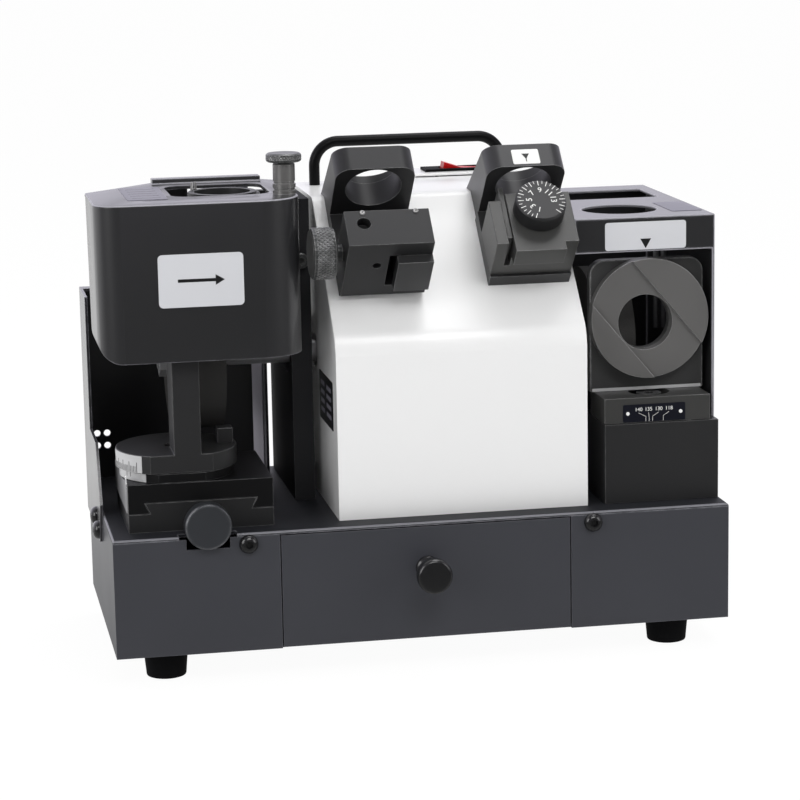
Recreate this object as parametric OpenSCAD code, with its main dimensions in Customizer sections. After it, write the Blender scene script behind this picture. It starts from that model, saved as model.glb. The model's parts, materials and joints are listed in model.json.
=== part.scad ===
// Bench grinder for end mills and drills: a base with a drawer, a motor body with two setting
// fixtures, an end-mill station on the left and a drill station on the right.
// Construction frame: X to the right from the base centre, Y back from the base front and
// Z up from the base underside. Slope frame: s up the sloping front, n off its surface.
// The origin of the finished part is the bottom centre of its bounds.

/* [Base] */
// Width of the base
base_w = 440; // [436:1:446]
// Depth of the base
base_d = 210; // [208:1:216]
// Height of the base without its feet
base_h = 84.4; // [82:0.2:88]
// Sheet thickness of the base
base_sheet = 2.5; // [2:0.1:3]
// Height of a rubber foot
foot_h = 22; // [18:1:28]
// Foot diameter at the base
foot_d = 32; // [28:1:34]
// Foot diameter at the floor
foot_tip_d = 28; // [24:1:28]
// Foot centre from the base sides
foot_in_x = 37; // [30:1:50]
// Foot centre from the base front and back
foot_in_y = 32; // [26:1:45]
// Foot screw diameter
foot_screw_d = 6; // [5:0.5:7]
// Case screw thread diameter
case_screw_d = 8; // [6:0.5:8.5]
// Case screw head diameter
case_head_d = 13.4; // [12.4:0.2:14]
// Case screw head height
case_head_h = 4.4; // [3.6:0.2:5]
// Case screw length under the head
case_screw_len = 11; // [8:1:14]
// Left front screw from the base centre
left_screw_x = -126; // [-128:0.5:-122]
// Right front screw from the base centre
right_screw_x = 120; // [116:1:130]
// Front screws below the deck
screw_drop = 7.9; // [7.6:0.1:9]

/* [Drawer] */
// Width of the drawer opening
drawer_w = 208; // [200:1:212]
// Gap around the drawer front
drawer_gap = 0.8; // [0.5:0.1:1.2]
// Length of the drawer tray
tray_len = 187; // [170:1:192]
// Side room between the opening and the tray
tray_room = 6; // [5:0.5:8]
// Drawer sheet thickness
tray_sheet = 1.5; // [1.2:0.1:2]
// Height of the tray walls
tray_h = 58; // [45:1:60]
// Runner shelf thickness
runner_t = 3; // [2:0.5:4]
// Runner shelf width
runner_w = 14; // [10:1:18]
// Runner web height
runner_h = 24; // [18:1:30]
// Drawer knob diameter
pull_d = 25; // [22:1:28]
// Drawer knob length
pull_len = 29; // [26:1:32]
// Drawer knob neck diameter
pull_neck_d = 11; // [9:1:13]
// Drawer knob above the base underside
pull_z = 51.5; // [40:0.5:55]
// Drawer knob screw diameter
pull_screw_d = 5; // [4:0.5:6]

/* [Motor body] */
// Left face of the motor body
body_x = -59; // [-60:0.5:-57]
// Width of the motor body
body_w = 180; // [178:0.5:181]
// Front face behind the base front
body_y = 18.5; // [16:0.5:21]
// Depth of the motor body
body_d = 187.5; // [184:0.5:189]
// Height of the motor body above the deck
body_h = 218; // [214:1:222]
// Height of the upright front above the deck
body_front_h = 126; // [122:1:130]
// Sheet thickness of the motor body
body_sheet = 2; // [1.6:0.1:2.4]
// Angle of the sloping front
slope_angle = 45; // [44:0.5:46]
// Spindle hole in each side
side_hole_d = 26; // [22:1:30]
// Handle bar diameter
handle_d = 8; // [7:0.5:10]
// Left handle leg from the left face
handle_in = 14; // [12:0.5:18]
// Right handle leg from the right face
handle_in_right = 23.5; // [16:0.5:24]
// Handle height above the body
handle_h = 36; // [34:1:45]
// Handle bend radius at the bar centre
handle_bend = 18; // [14:1:22]
// Handle legs in front of the body back
handle_back = 21; // [17:1:25]
// Handle stud diameter
handle_stud_d = 5; // [4:0.5:6]

/* [Switch box] */
// Switch box from the right face of the body
box_in = 5; // [4:0.5:8]
// Width of the switch box
box_w = 82; // [78:1:84]
// Depth of the switch box
box_d = 42; // [40:1:46]
// Height of the switch box
box_h = 90; // [84:1:100]
// Switch box top above the body top
box_rise = 2.6; // [0:0.2:3]
// Switch box sheet thickness
box_sheet = 2; // [1.5:0.1:2.5]
// Bezel length
bezel_w = 56; // [50:1:58]
// Bezel depth
bezel_d = 22; // [20:1:24]
// Bezel thickness
bezel_t = 2; // [1.5:0.1:2.5]
// Rocker length
rocker_len = 28; // [24:0.5:30]
// Rocker width
rocker_w = 12.4; // [10:0.2:13]
// Rocker tilt at rest
rocker_tilt = 11; // [9:0.5:12]
// Rocker pivot diameter
rocker_pin_d = 3; // [2.5:0.1:3.4]
// Inlet flange width
inlet_w = 50; // [46:1:54]
// Inlet flange height
inlet_h = 26; // [24:1:30]
// Inlet flange thickness
inlet_t = 3; // [2:0.5:4]
// Inlet body width
inlet_body_w = 28; // [27:0.5:30]
// Inlet body height
inlet_body_h = 20; // [19:0.5:22]
// Inlet body depth
inlet_depth = 22; // [20:1:26]
// Inlet below the middle of the switch box
inlet_drop = 14; // [12:1:16]

/* [Spindle and motor] */
// Spindle axis behind the base front
spindle_y = 115; // [114:0.5:116]
// Spindle axis above the deck
spindle_h = 105.6; // [105:0.2:107]
// Spindle diameter
spindle_d = 16; // [14:0.5:17]
// Wheel diameter
wheel_d = 104; // [98:0.5:104]
// Left face of the mill wheel from the slide centre
mill_wheel_off = 9; // [6:0.5:9]
// Width of the mill wheel
mill_wheel_w = 35; // [30:1:36]
// Drill wheel from the body
drill_wheel_in = 19; // [17:0.5:21]
// Width of the drill wheel
drill_wheel_w = 29; // [24:1:30]
// Radial width of the cup wheel rim
wheel_rim = 12; // [9:0.5:14]
// Thickness of the cup wheel web
wheel_web = 12; // [9:0.5:14]
// Wheel nut across its corners
wheel_nut_d = 28; // [24:1:30]
// Wheel nut thickness
wheel_nut_t = 8; // [6:0.5:9]
// Wheel collar diameter
collar_d = 36; // [30:1:40]
// Wheel collar thickness
collar_t = 6; // [4:0.5:8]
// Motor housing diameter
motor_d = 112; // [108:1:114]
// Room between the motor and the outside of the body
motor_room = 10; // [9:0.5:13]
// Motor housing wall
motor_wall = 8; // [6:0.5:10]
// Bore of the stator
stator_d = 69; // [64:0.5:72]
// Length of stator and rotor
stack_len = 70; // [60:1:80]
// Air gap between rotor and stator
air_gap = 0.5; // [0.3:0.1:0.8]
// Thickness of the end bells
bell_t = 12; // [10:0.5:13]
// Bearing outer diameter
bearing_d = 40; // [35:0.5:42]
// Cradle width along the spindle
cradle_w = 60; // [50:1:70]
// Cradle depth
cradle_d = 70; // [60:1:76]
// Cradle top below the spindle axis
cradle_drop = 40; // [34:1:44]

/* [Mill slide] */
// Centre of the mill slide from the right of the cover
mill_off = 76; // [75:0.5:77]
// Front of the mill slide
mill_y = 18.5; // [17.5:0.5:19.5]
// Width of the dovetail blocks
dove_w = 101.5; // [98:0.5:104]
// Length of the dovetail blocks
dove_len = 92; // [88:1:98]
// Height of the lower block under the dovetail
dove_low_h = 13; // [12.4:0.2:14]
// Height of the dovetail
dove_rise = 7.6; // [6.6:0.2:9]
// Dovetail width at its root
dove_root_w = 70.6; // [66:0.2:74]
// Dovetail width at its top
dove_top_w = 78; // [75:0.2:82]
// Height of the upper block
slide_h = 20.9; // [19.5:0.2:21]
// Feed screw from the slide centre
feed_off = 2; // [0:0.5:4]
// Feed screw above the deck
feed_h = 7; // [6.8:0.1:7.4]
// Feed screw diameter
feed_d = 8; // [7:0.5:8.4]
// Feed knob diameter
feed_knob_d = 32.5; // [30:0.5:34]
// Feed knob thickness
feed_knob_t = 12; // [10:0.5:14]
// Feed knob in front of the base front
feed_knob_out = 6; // [4:0.5:8]
// Room beside the feed knob in the deck
deck_notch_room = 4; // [3:0.5:5]
// Room around the feed knob in the front panel
panel_notch_room = 0.5; // [0.4:0.1:1]
// Width of the feed channel
channel_w = 19; // [18:0.5:22]
// Wall at each end of the feed channel
channel_wall = 11; // [9:0.5:14]
// Floor under the feed channel
channel_floor = 2.6; // [2:0.2:2.8]
// Length of the feed nut
feed_nut_len = 16; // [14:1:20]

/* [Mill head] */
// Swivel axis left of the slide centre
swivel_off = 12.5; // [11.5:0.5:13]
// Swivel axis behind the slide front
swivel_in = 37; // [36.5:0.5:38]
// Swivel disc radius
swivel_r = 42.5; // [41:0.5:43]
// Swivel disc thickness
swivel_t = 12.8; // [12:0.2:13]
// Front flat of the disc from the swivel axis
swivel_flat = 36.5; // [35:0.5:37]
// Scale disc radius
scale_r = 40; // [38:0.5:41]
// Scale disc thickness
scale_t = 6.4; // [5.6:0.2:6.4]
// Swivel spigot diameter
spigot_d = 16; // [14:0.5:20]
// Upright width
upright_w = 19; // [17:0.5:20]
// Upright depth
upright_d = 16; // [14:0.5:18]
// Upright centre from the swivel axis
upright_off = 4.5; // [4:0.5:5]
// Thickness of the rib behind the upright
rib_t = 5; // [4:0.5:5]
// Chuck bore of all four seats
chuck_d = 40; // [38:0.5:40.5]
// Mill seat bore from the swivel axis
seat_off_x = 41; // [40.5:0.5:41.5]
// Mill seat bore behind the swivel axis
seat_off_y = 23.5; // [23:0.5:24]
// Wall of the mill seat boss
seat_wall = 4; // [3:0.5:4]
// Boss height above the seat plate
seat_boss_h = 7; // [6.6:0.2:8]
// Mill seat plate thickness
seat_t = 21; // [16:0.5:24]
// Index pin diameter
index_d = 4.5; // [4:0.1:5]
// Index pin height above the seat plate
index_h = 12; // [10:0.5:14]
// Index pin left of the seat bore
index_left = 18; // [17.5:0.5:19]
// Index pin behind the seat bore
index_back = 19; // [18:0.5:19.5]
// Length of the seat arm along the left side
arm_len = 42; // [38:1:44]
// Size of the swivel lock nut
lock_nut = 11; // [9:0.5:12]

/* [Mill cover] */
// Cover overhang past the guard
cover_over = 3; // [2.5:0.1:4]
// Width of the mill cover
cover_w = 143; // [142.5:0.1:143.5]
// Front face of the mill cover
cover_y = 8; // [6.5:0.5:8]
// Underside of the cover above the deck
cover_low = 120.6; // [116:0.2:124]
// Cover top above the deck
cover_h = 229.6; // [229:0.2:232]
// Cover sheet thickness
cover_sheet = 2.5; // [2:0.1:2.8]
// Front left corner radius
cover_r_left = 18; // [14:1:20]
// Front right corner radius
cover_r_right = 30; // [24:1:34]
// Lower left corner radius of the front
cover_r_low = 16; // [12:1:20]
// Side length at the bottom
side_low = 64; // [58:1:68]
// Side length at the top
side_top = 79; // [74:0.5:80]
// Top plate length
cover_len = 130; // [128:0.5:130]
// Length of the left rear cut of the top plate
top_cut_d = 46; // [42:1:50]
// Width of the left rear cut of the top plate
top_cut_w = 51; // [46:1:52]
// Lip on the top plate from its left side
lip_in = 51; // [50:1:54]
// Width of the lip on the top plate
lip_w = 78; // [72:1:79]
// Length of the chuck opening in the top
hatch_w = 69; // [67:0.5:70]
// Depth of the chuck opening in the top
hatch_d = 67; // [66:0.5:70]
// Hinge centre from the left of the cover
hinge_in = 89; // [87:1:90]
// Hinge pin diameter
hinge_d = 6; // [5:0.2:6.4]
// Hinge knuckle diameter
knuckle_d = 11; // [10.4:0.2:11.2]
// Hinge axis behind the top plate
hinge_back = 8; // [7.8:0.1:9]
// Hinge axis below the cover top
hinge_drop = 16; // [15:0.5:18]
// Width of a hinge knuckle
knuckle_w = 20; // [16:0.5:22]
// Width of the end lugs of the hinge
lug_w = 10; // [8:0.5:10]
// Plunger axis from the right of the cover
plunger_in = 8.5; // [8.2:0.1:9]
// Plunger axis behind the cover front
plunger_back = 35; // [33:0.5:38]
// Plunger bush diameter
bush_d = 16; // [14:0.5:16]
// Plunger bush height
bush_h = 21; // [17:0.5:23]
// Plunger knob diameter
plunger_d = 25; // [22:0.5:27]
// Plunger knob height
plunger_h = 6.2; // [5:0.2:9]
// Plunger pin diameter
plunger_pin_d = 8; // [7:0.2:8.4]
// Plunger tip diameter
plunger_tip_d = 5; // [4:0.2:5.4]

/* [Post and guard] */
// Gap between the post and the body
post_in = 5.5; // [4.5:0.5:6]
// Gap between the cover and the post
post_gap = 0.5; // [0.4:0.1:0.8]
// Post thickness
post_w = 15; // [13:0.5:16]
// Post front behind the base front
post_y = 90; // [89:0.5:91]
// Post depth
post_d = 68; // [66:0.5:70]
// Depth of the post foot
post_foot_d = 112; // [106:1:114]
// Height of the post foot above the deck
post_foot_h = 118; // [112:1:119]
// Hole in the post around the spindle
post_hole_d = 30; // [26:1:36]
// Post top above the hinge axis
post_rise = 6; // [6:0.5:7]
// Underside of the hinge bar below the hinge axis
bar_drop = 10; // [8:0.5:12]
// Catch arm thickness
catch_t = 6; // [5:0.5:7]
// Catch arm below the cover top
catch_drop = 12; // [11.5:0.5:13]
// Guard sheet thickness
guard_t = 2; // [1.5:0.1:2.4]
// Guard top above the deck
guard_h = 146.6; // [140:0.2:150]
// Guard back in front of the base back
guard_in = 7; // [5:0.5:9]
// Width of the guard back
guard_w = 136; // [130:0.5:138]
// Guard overlap on the base side
guard_drop = 22; // [20:0.5:26]
// Width of the flange along the guard top
guard_flange = 11; // [8:0.5:14]
// Reach of the right flange of the guard
guard_turn = 28; // [24:1:32]
// Length of the guard side at its foot
guard_foot = 113; // [110:1:116]
// Length of the guard side at its widest
guard_wide = 127; // [124:1:130]
// Height of the widest place above the deck
guard_wide_h = 8; // [6:1:12]
// Length of the guard side at its shoulder
guard_shoulder = 105; // [100:1:110]
// Height of the shoulder above the deck
guard_shoulder_h = 49; // [45:1:54]
// Length of the guard side above the shoulder
guard_upper = 55; // [50:1:60]
// Lean of the front edge above the shoulder
guard_lean = 2; // [0:0.5:4]
// Rear guard screw in front of the guard back
guard_screw_in = 88; // [86:1:92]
// Distance between the guard screws
guard_pitch = 19; // [17:1:20]
// Rear guard screw below the deck
guard_screw_drop = 8.4; // [8:0.2:9]
// Height step between the guard screws
guard_step = 6; // [4:0.5:6]

/* [Setting fixtures] */
// Left ring centre from the left face of the body
left_in = 37.4; // [36:0.1:39]
// Right ring centre from the right face of the body
right_in = 34.6; // [33:0.1:36]
// Ring width
ring_w = 57; // [54:0.5:59]
// Ring height above the slope
ring_h = 60; // [59.5:0.5:64]
// Ring length along the slope
ring_len = 20; // [18:0.5:22]
// Left ring below the top of the slope
left_ring_in = 4.1; // [3:0.1:6]
// Right ring below the top of the slope
right_ring_in = 7.1; // [5:0.1:8]
// Ring bore above the slope
ring_bore_n = 38.5; // [37:0.5:38.5]
// Radius of the upper ring corners
ring_round = 11; // [8:0.5:13]
// Heel of the rings along the body top
heel_len = 14; // [12:0.5:16]
// Room around the chuck behind the ring bores
heel_room = 3; // [2:0.5:4]
// Fixture base plate thickness
fixture_t = 10; // [8:0.5:11]
// Width of the left stop block
stop_w = 60; // [58:0.5:62]
// Length of the left stop block along the slope
stop_len = 30; // [28:0.5:32]
// Height of the left stop block
stop_h = 63; // [61:0.5:66]
// Left stop block below its ring
stop_in = 39; // [37:0.5:41]
// Width of the slot for the left slider
slot_w = 30; // [28:0.5:32]
// Height of the slot for the left slider
slot_h = 34; // [32:0.5:36]
// Depth of the slot for the left slider
slot_d = 23; // [21:0.5:24]
// Width of the left slider
slider_w = 23; // [21:0.5:24]
// Thickness of the left slider front
slider_t = 6.7; // [5:0.1:8]
// Adjusting screw diameter
adjust_d = 8; // [7:0.5:8.5]
// Left knob diameter
left_knob_d = 36.5; // [34:0.5:38]
// Left knob width
left_knob_w = 17; // [14:0.5:18]
// Gap between the left knob and its block
left_knob_gap = 5.5; // [4:0.5:6]
// Length of the right base plate below its ring
right_plate_len = 59; // [58:0.5:61]
// Height of the right stop block
right_stop_h = 36; // [34:0.5:38]
// Length of the right stop block beside the blade
right_left_len = 38; // [36:0.5:40]
// Length of the right stop block under the dial
right_right_len = 44; // [42:0.5:46]
// Reach of the nose under the dial
nose_len = 7; // [5:0.5:8]
// Height of the nose under the dial
nose_h = 16; // [13:0.5:18]
// Thickness of the stop blade
blade_t = 3.4; // [2.6:0.1:4]
// Height of the stop blade
blade_h = 24; // [20:0.5:25]
// Dial diameter
dial_d = 36; // [34:0.5:38]
// Dial thickness
dial_t = 13; // [10:0.5:15]
// Dial spindle diameter
dial_pin_d = 8; // [6:0.5:9]
// Dial axis up from the lower edge of the base plate
dial_up = 29; // [28:0.5:30]
// Stop blade left of the ring centre
blade_in = 18.9; // [17.9:0.1:20]

/* [Drill station] */
// Pedestal from the body
ped_in = 13; // [12:0.5:13.5]
// Pedestal width
ped_w = 84; // [80:0.5:84]
// Pedestal front
ped_y = 19; // [18:0.5:19.5]
// Pedestal depth
ped_d = 61; // [56:0.5:62]
// Pedestal height
ped_h = 57.6; // [56:0.2:58]
// Pedestal wall
ped_wall = 6; // [4:0.5:8]
// Swivel block width
block_w = 78; // [74:0.5:79]
// Swivel block depth
block_d = 40; // [39:0.5:40.5]
// Swivel block height
block_h = 18.2; // [16:0.2:19]
// Pivot bolt diameter
pivot_d = 10; // [8:0.5:12]
// Pivot bolt depth in the pedestal
pivot_len = 24; // [20:1:28]
// Pivot bolt head diameter
pivot_head_d = 18; // [16:0.5:20]
// Pivot bolt head height
pivot_head_h = 5.5; // [5:0.1:6]
// Pivot axis behind the pedestal front
pivot_in = 24.5; // [24:0.5:25]
// Recess around the pivot bolt
recess_d = 30; // [27:0.5:31]
// Depth of the recess
recess_t = 6.8; // [6.4:0.1:8]
// Seat plate width
plate_w = 84; // [80:0.5:84.5]
// Seat plate height
plate_h = 95.5; // [93:0.5:97]
// Seat plate thickness
plate_t = 8; // [6:0.5:8]
// Seat plate corner radius
plate_r = 10.6; // [8:0.2:14]
// Drill bore above the swivel block
drill_bore_h = 50.7; // [50:0.1:51.5]
// Drill bore left of the middle of the seat
drill_bore_in = 3; // [2:0.5:4]
// Middle of the seat disc above the swivel block
disc_h = 53.5; // [53:0.5:54.5]
// Seat disc diameter
disc_d = 86.5; // [84:0.5:87]
// Seat disc thickness
disc_t = 10; // [8:0.5:11]
// Width of the groove across the disc
groove_w = 42; // [41:0.5:46]
// Depth of the groove across the disc
groove_t = 2.5; // [1:0.1:4]
// Lean of the groove from the horizontal
groove_angle = 50; // [40:1:60]
// Width of the hood
hood_w = 99; // [98:0.5:100]
// Hood front behind the base front
hood_y = 36; // [34:0.5:36.5]
// Hood top above the deck
hood_h = 203.6; // [203:0.2:206]
// Height of the hood front band
hood_band = 25; // [22:0.5:25]
// Hood sheet thickness
hood_sheet = 2; // [1.6:0.1:2.2]
// Hood front past the side of the body
hood_tongue = 4; // [3:0.5:4.5]
// Depth of the hood beside the fixture
hood_tongue_d = 40; // [36:1:44]
// Hood top past the hood back
hood_over = 14; // [11:1:16]
// Round hole in the hood top
hood_hole_d = 54; // [50:1:58]
// Round hole behind the hood front
hood_hole_in = 47; // [44:1:50]
// Slot in front of the hood back
hood_slot_in = 10; // [8:1:12]
// Slot width in the hood top
hood_slot_w = 74; // [68:1:78]
// Slot depth in the hood top
hood_slot_d = 52; // [46:1:54]
// Dresser block width
dresser_w = 18; // [16:1:20]
// Dresser block depth
dresser_t = 14; // [12:1:16]
// Dresser block height
dresser_h = 9; // [8:0.5:10]
// Dresser from the right side of the hood
dresser_in = 15; // [14:0.5:16]
// Dresser behind the spindle axis
dresser_back = 11; // [10:0.5:12]
// Dresser rod diameter
dresser_d = 4; // [3:0.5:5]
// Dresser rod length
dresser_len = 85; // [76:1:88]

/* [Fits] */
// Running clearance on the radius of turning shafts
run_gap = 0.05; // [0.02:0.01:0.1]
// Clearance between separate moving pieces
part_gap = 0.3; // [0.2:0.05:0.4]
// Clearance on the radius of a fixed screw or stud
hole_gap = 0.2; // [0.1:0.05:0.3]

/* [Hidden] */
$fn = 64;

// Finishes
charcoal = "#404146";
black_coat = "#2a2a2c";
white_coat = "#e8e8e8";
black_steel = "#3b3b3d";
grey_steel = "#64625f";
bright_steel = "#b4b4b6";
soft_black = "#1c1c1c";
red_plastic = "#c2201b";
abrasive = "#8f7a72";
cast_grey = "#6d6f72";

// Overrun of a cutter
over = 1;

// Levels and faces of the base and the motor body
deck_z = base_h;
deck_low = base_h - base_sheet;
base_x = base_w / 2;
opening_x = drawer_w / 2;
body_x1 = body_x + body_w;
body_back = body_y + body_d;
body_top = deck_z + body_h;
kink_z = deck_z + body_front_h;
slope_run = (body_top - kink_z) / tan(slope_angle);
slope_len = (body_top - kink_z) / sin(slope_angle);
spindle_z = deck_z + spindle_h;
handle_x0 = body_x + handle_in;
handle_x1 = body_x1 - handle_in_right;
handle_y = body_back - handle_back;

// Drawer
tray_x = opening_x - tray_room;
tray_z = base_sheet + runner_t + part_gap;
front_t = base_sheet;

// Switch box
box_x = body_x1 - box_in - box_w;
box_back = body_back + box_d;
box_top = body_top + box_rise;
box_mid_x = box_x + box_w / 2;
rocker_x = box_mid_x - 1;
rocker_y = body_back + box_d / 2;
rocker_z = box_top - 2;
well_x = rocker_len / 2 + 1.5;
well_y = rocker_w / 2 + part_gap;
well_wall = 1.5;
well_depth = 20;
inlet_z = box_top - box_h / 2 - inlet_drop;
wire_hole_d = 20;

// Post and cover beside the motor body
post_x = body_x - post_in - post_w;
cover_x1 = post_x - post_gap;
cover_x = cover_x1 - cover_w;

// Mill slide and head
mill_x = cover_x1 - mill_off;
feed_x = mill_x + feed_off;
feed_z = deck_z + feed_h;
dove_z = deck_z + dove_low_h;
dove_y1 = mill_y + dove_len;
slide_z = dove_z + part_gap;
slide_top = slide_z + slide_h;
deck_notch_x = feed_knob_d / 2 + deck_notch_room;
panel_notch_x = sqrt(pow(feed_knob_d / 2, 2) - pow(feed_z - deck_z, 2)) + panel_notch_room;
panel_notch_z = feed_z - feed_knob_d / 2 - panel_notch_room;
knob_y1 = feed_knob_t - feed_knob_out;
swivel_x = mill_x - swivel_off;
swivel_y = mill_y + swivel_in;
scale_top = slide_top + scale_t;
disc_z = scale_top + part_gap;
disc_top = disc_z + swivel_t;
upright_y = swivel_y - swivel_flat;
upright_x0 = swivel_x + upright_off - upright_w / 2;
upright_x1 = upright_x0 + upright_w;
cover_z = deck_z + cover_low;
cover_top = deck_z + cover_h;
seat_x = swivel_x + seat_off_x;
seat_y = swivel_y + seat_off_y;
seat_r = chuck_d / 2 + seat_wall;
seat_top = cover_top - 1;
seat_plate_top = seat_top - seat_boss_h;
seat_z = seat_plate_top - seat_t;
index_x = seat_x - index_left;
index_y = seat_y + index_back;
index_sunk = 10;
lock_x = swivel_x + swivel_r - lock_nut / 2 - 2.5;

// Mill cover, its hinge and its catch
cover_rear = cover_y + cover_len;
hatch_x = seat_x - 4;
hatch_y = seat_y + 0.5;
hatch_r = 12;
hinge_y = cover_rear + hinge_back;
hinge_z = cover_top - hinge_drop;
hinge_x = cover_x + hinge_in;
knuckle_in = 12;
knuckle_out = knuckle_in + knuckle_w;
lug_gap = 0.4;
hinge_end = knuckle_out + lug_w;
hinge_arm_t = 4;
post_top = hinge_z + post_rise;
post_back = post_y + post_d;
bar_y0 = hinge_y + knuckle_d / 2 + lug_gap;
bar_low = hinge_z - bar_drop;
plunger_x = cover_x1 - plunger_in;
plunger_y = cover_y + plunger_back;
catch_top = cover_top - catch_drop;
catch_z = catch_top - catch_t;
bush_spigot_d = bush_d - 5;
bush_spigot_h = 8;
plunger_head_z = cover_top + bush_h + 1;
tip_reach = 4.5;
guard_x = min(-base_x, cover_x + cover_over) - guard_t;
guard_y1 = base_d - guard_in;
guard_top = deck_z + guard_h;
guard_screw_y = guard_y1 - guard_screw_in;
guard_screw_z = deck_z - guard_screw_drop;
guard_screws = [
    [guard_screw_y, guard_screw_z],
    [guard_screw_y - guard_pitch, guard_screw_z - guard_step]
];

// Spindle and motor
mill_wheel_x = mill_x - mill_wheel_off;
drill_wheel_x = body_x1 + drill_wheel_in;
spindle_x0 = mill_wheel_x - wheel_nut_t - 1;
spindle_x1 = drill_wheel_x + drill_wheel_w + wheel_nut_t + 1;
motor_len = body_w - 2 * (motor_room + bell_t);
motor_mid = body_x + body_w / 2;
motor_x = motor_mid - motor_len / 2;
motor_x1 = motor_mid + motor_len / 2;

// Setting fixtures
left_x = body_x + left_in;
right_x = body_x1 - right_in;
left_ring_s = slope_len - left_ring_in - ring_len;
right_ring_s = slope_len - right_ring_in - ring_len;
stop_s = left_ring_s - stop_in - stop_len;
right_plate_s = right_ring_s - right_plate_len;
stop_x = left_x + 0.6 - stop_w / 2;
stop_x1 = stop_x + stop_w;
slot_x = stop_x1 - slot_w;
slot_n = 16;
slot_s1 = stop_s + slot_d;
slider_x = stop_x1 - slider_w;
adjust_s = stop_s + stop_len / 2;
adjust_n = slot_n + slot_h / 2 + 3;
left_knob_x1 = stop_x - left_knob_gap;
right_half = ring_w / 2 + 1;
right_block_x = right_x - ring_w / 2 - 1;
right_block_x1 = right_x + right_half;
right_block_s = right_plate_s + 2;
right_block_top = fixture_t + right_stop_h;
bridge_t = 10;
blade_x = right_x - blade_in;
blade_n = fixture_t + bridge_t + part_gap;
blade_s = right_plate_s + 8;
stop_travel = 5;
blade_s1 = right_ring_s - stop_travel - 1;
blade_room = blade_t / 2 + part_gap;
dial_x = right_x + 4.6;
dial_s = right_plate_s + dial_up;
dial_n = right_block_top + part_gap;
dial_pin_len = 16;
bolt_d = 6;
bolt_head_d = 10;
bolt_head_t = 4;

// Drill station
ped_x = body_x1 + ped_in;
drill_x = ped_x + ped_w / 2 - 3;
ped_top = deck_z + ped_h;
block_y = ped_y + 1;
block_y1 = block_y + block_d;
block_z = ped_top + part_gap;
block_top = block_z + block_h;
pivot_y = ped_y + pivot_in;
plate_y1 = block_y1 - 3;
plate_y = plate_y1 - plate_t;
bore_x = drill_x - drill_bore_in;
bore_z = block_top + drill_bore_h;
seat_disc_z = block_top + disc_h;
hood_top = deck_z + hood_h;
hood_back = base_d - 2;
hood_x1 = body_x1 + hood_w;
hood_hole_x = drill_x - 11;
hood_hole_y = hood_y + hood_hole_in;
hood_slot_x = drill_x - 1;
hood_slot_y1 = hood_back - hood_slot_in;
pivot_low = ped_top - pivot_len;
dresser_x = hood_x1 - dresser_in;
dresser_y = spindle_y + dresser_back;
dresser_pitch = 6;

// Bounds of the part
left_end = guard_x - case_head_h;
right_end = max(base_x, hood_x1);
front_end = -pull_len;
back_end = box_back + inlet_t;

// Moves the construction frame to the origin of the part
module placed() {
    translate([-(left_end + right_end) / 2, -(front_end + back_end) / 2, foot_h]) children();
}

// Box between two corners
module span(a, b) {
    translate(a) cube(b - a);
}

// Round bar along X at a place in Y and Z
module bar_x(d, x0, x1, y, z) {
    translate([x0, y, z]) rotate([0, 90, 0]) cylinder(d = d, h = x1 - x0);
}

// Round bar along Y at a place in X and Z
module bar_y(d, y0, y1, x, z) {
    translate([x, y0, z]) rotate([-90, 0, 0]) cylinder(d = d, h = y1 - y0);
}

// Round bar along Z at a place in X and Y
module bar_z(d, z0, z1, x, y) {
    translate([x, y, z0]) cylinder(d = d, h = z1 - z0);
}

// Round washer or tube along X
module tube_x(d, bore, x0, x1, y, z) {
    difference() {
        bar_x(d, x0, x1, y, z);
        bar_x(bore, x0 - over, x1 + over, y, z);
    }
}

// Prism along X from an outline in Y and Z
module prism_x(x0, x1) {
    translate([x0, 0, 0]) rotate([90, 0, 90]) linear_extrude(x1 - x0) children();
}

// Prism along Y from an outline in X and Z
module prism_y(y0, y1) {
    translate([0, y1, 0]) rotate([90, 0, 0]) linear_extrude(y1 - y0) children();
}

// Rounded rectangle about the origin
module round_rect(w, h, r) {
    square([w - 2 * r, h], center = true);
    square([w, h - 2 * r], center = true);
    for (sx = [-1, 1], sy = [-1, 1])
        translate([sx * (w / 2 - r), sy * (h / 2 - r)]) circle(r);
}

// Frame on the sloping front: local Y is s and local Z is n
module on_slope() {
    translate([0, body_y, kink_z]) rotate([slope_angle, 0, 0]) children();
}

// Button head screw pointing to local -Z, with a hexagon socket in its head
module button_screw() {
    difference() {
        union() {
            translate([0, 0, -case_screw_len]) cylinder(d = case_screw_d, h = case_screw_len);
            cylinder(d = case_head_d, h = case_head_h / 2);
            translate([0, 0, case_head_h / 2])
                cylinder(d1 = case_head_d, d2 = case_head_d * 0.62, h = case_head_h / 2);
        }
        translate([0, 0, case_head_h * 0.4]) cylinder(d = case_screw_d * 0.72, h = case_head_h, $fn = 6);
    }
}

// Places children at each foot
module each_foot() {
    for (sx = [-1, 1], y = [foot_in_y, base_d - foot_in_y])
        translate([sx * (base_x - foot_in_x), y, 0]) children();
}

module base_deck() {
    color(charcoal) placed() difference() {
        span([-base_x, 0, deck_low], [base_x, base_d, deck_z]);
        span([feed_x - deck_notch_x, -over, deck_low - over],
             [feed_x + deck_notch_x, knob_y1 + 3, deck_z + over]);
    }
}

module base_tub() {
    color(charcoal) placed() difference() {
        span([-base_x, base_sheet, 0], [base_x, base_d, deck_low]);
        span([-base_x + base_sheet, base_sheet - over, base_sheet],
             [base_x - base_sheet, base_d - base_sheet, deck_low + over]);
        each_foot() bar_z(foot_screw_d + 2 * hole_gap, -over, base_sheet + over, 0, 0);
        for (p = guard_screws)
            bar_x(case_screw_d + 2 * hole_gap, -base_x - over, -base_x + base_sheet + over, p[0], p[1]);
    }
}

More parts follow.
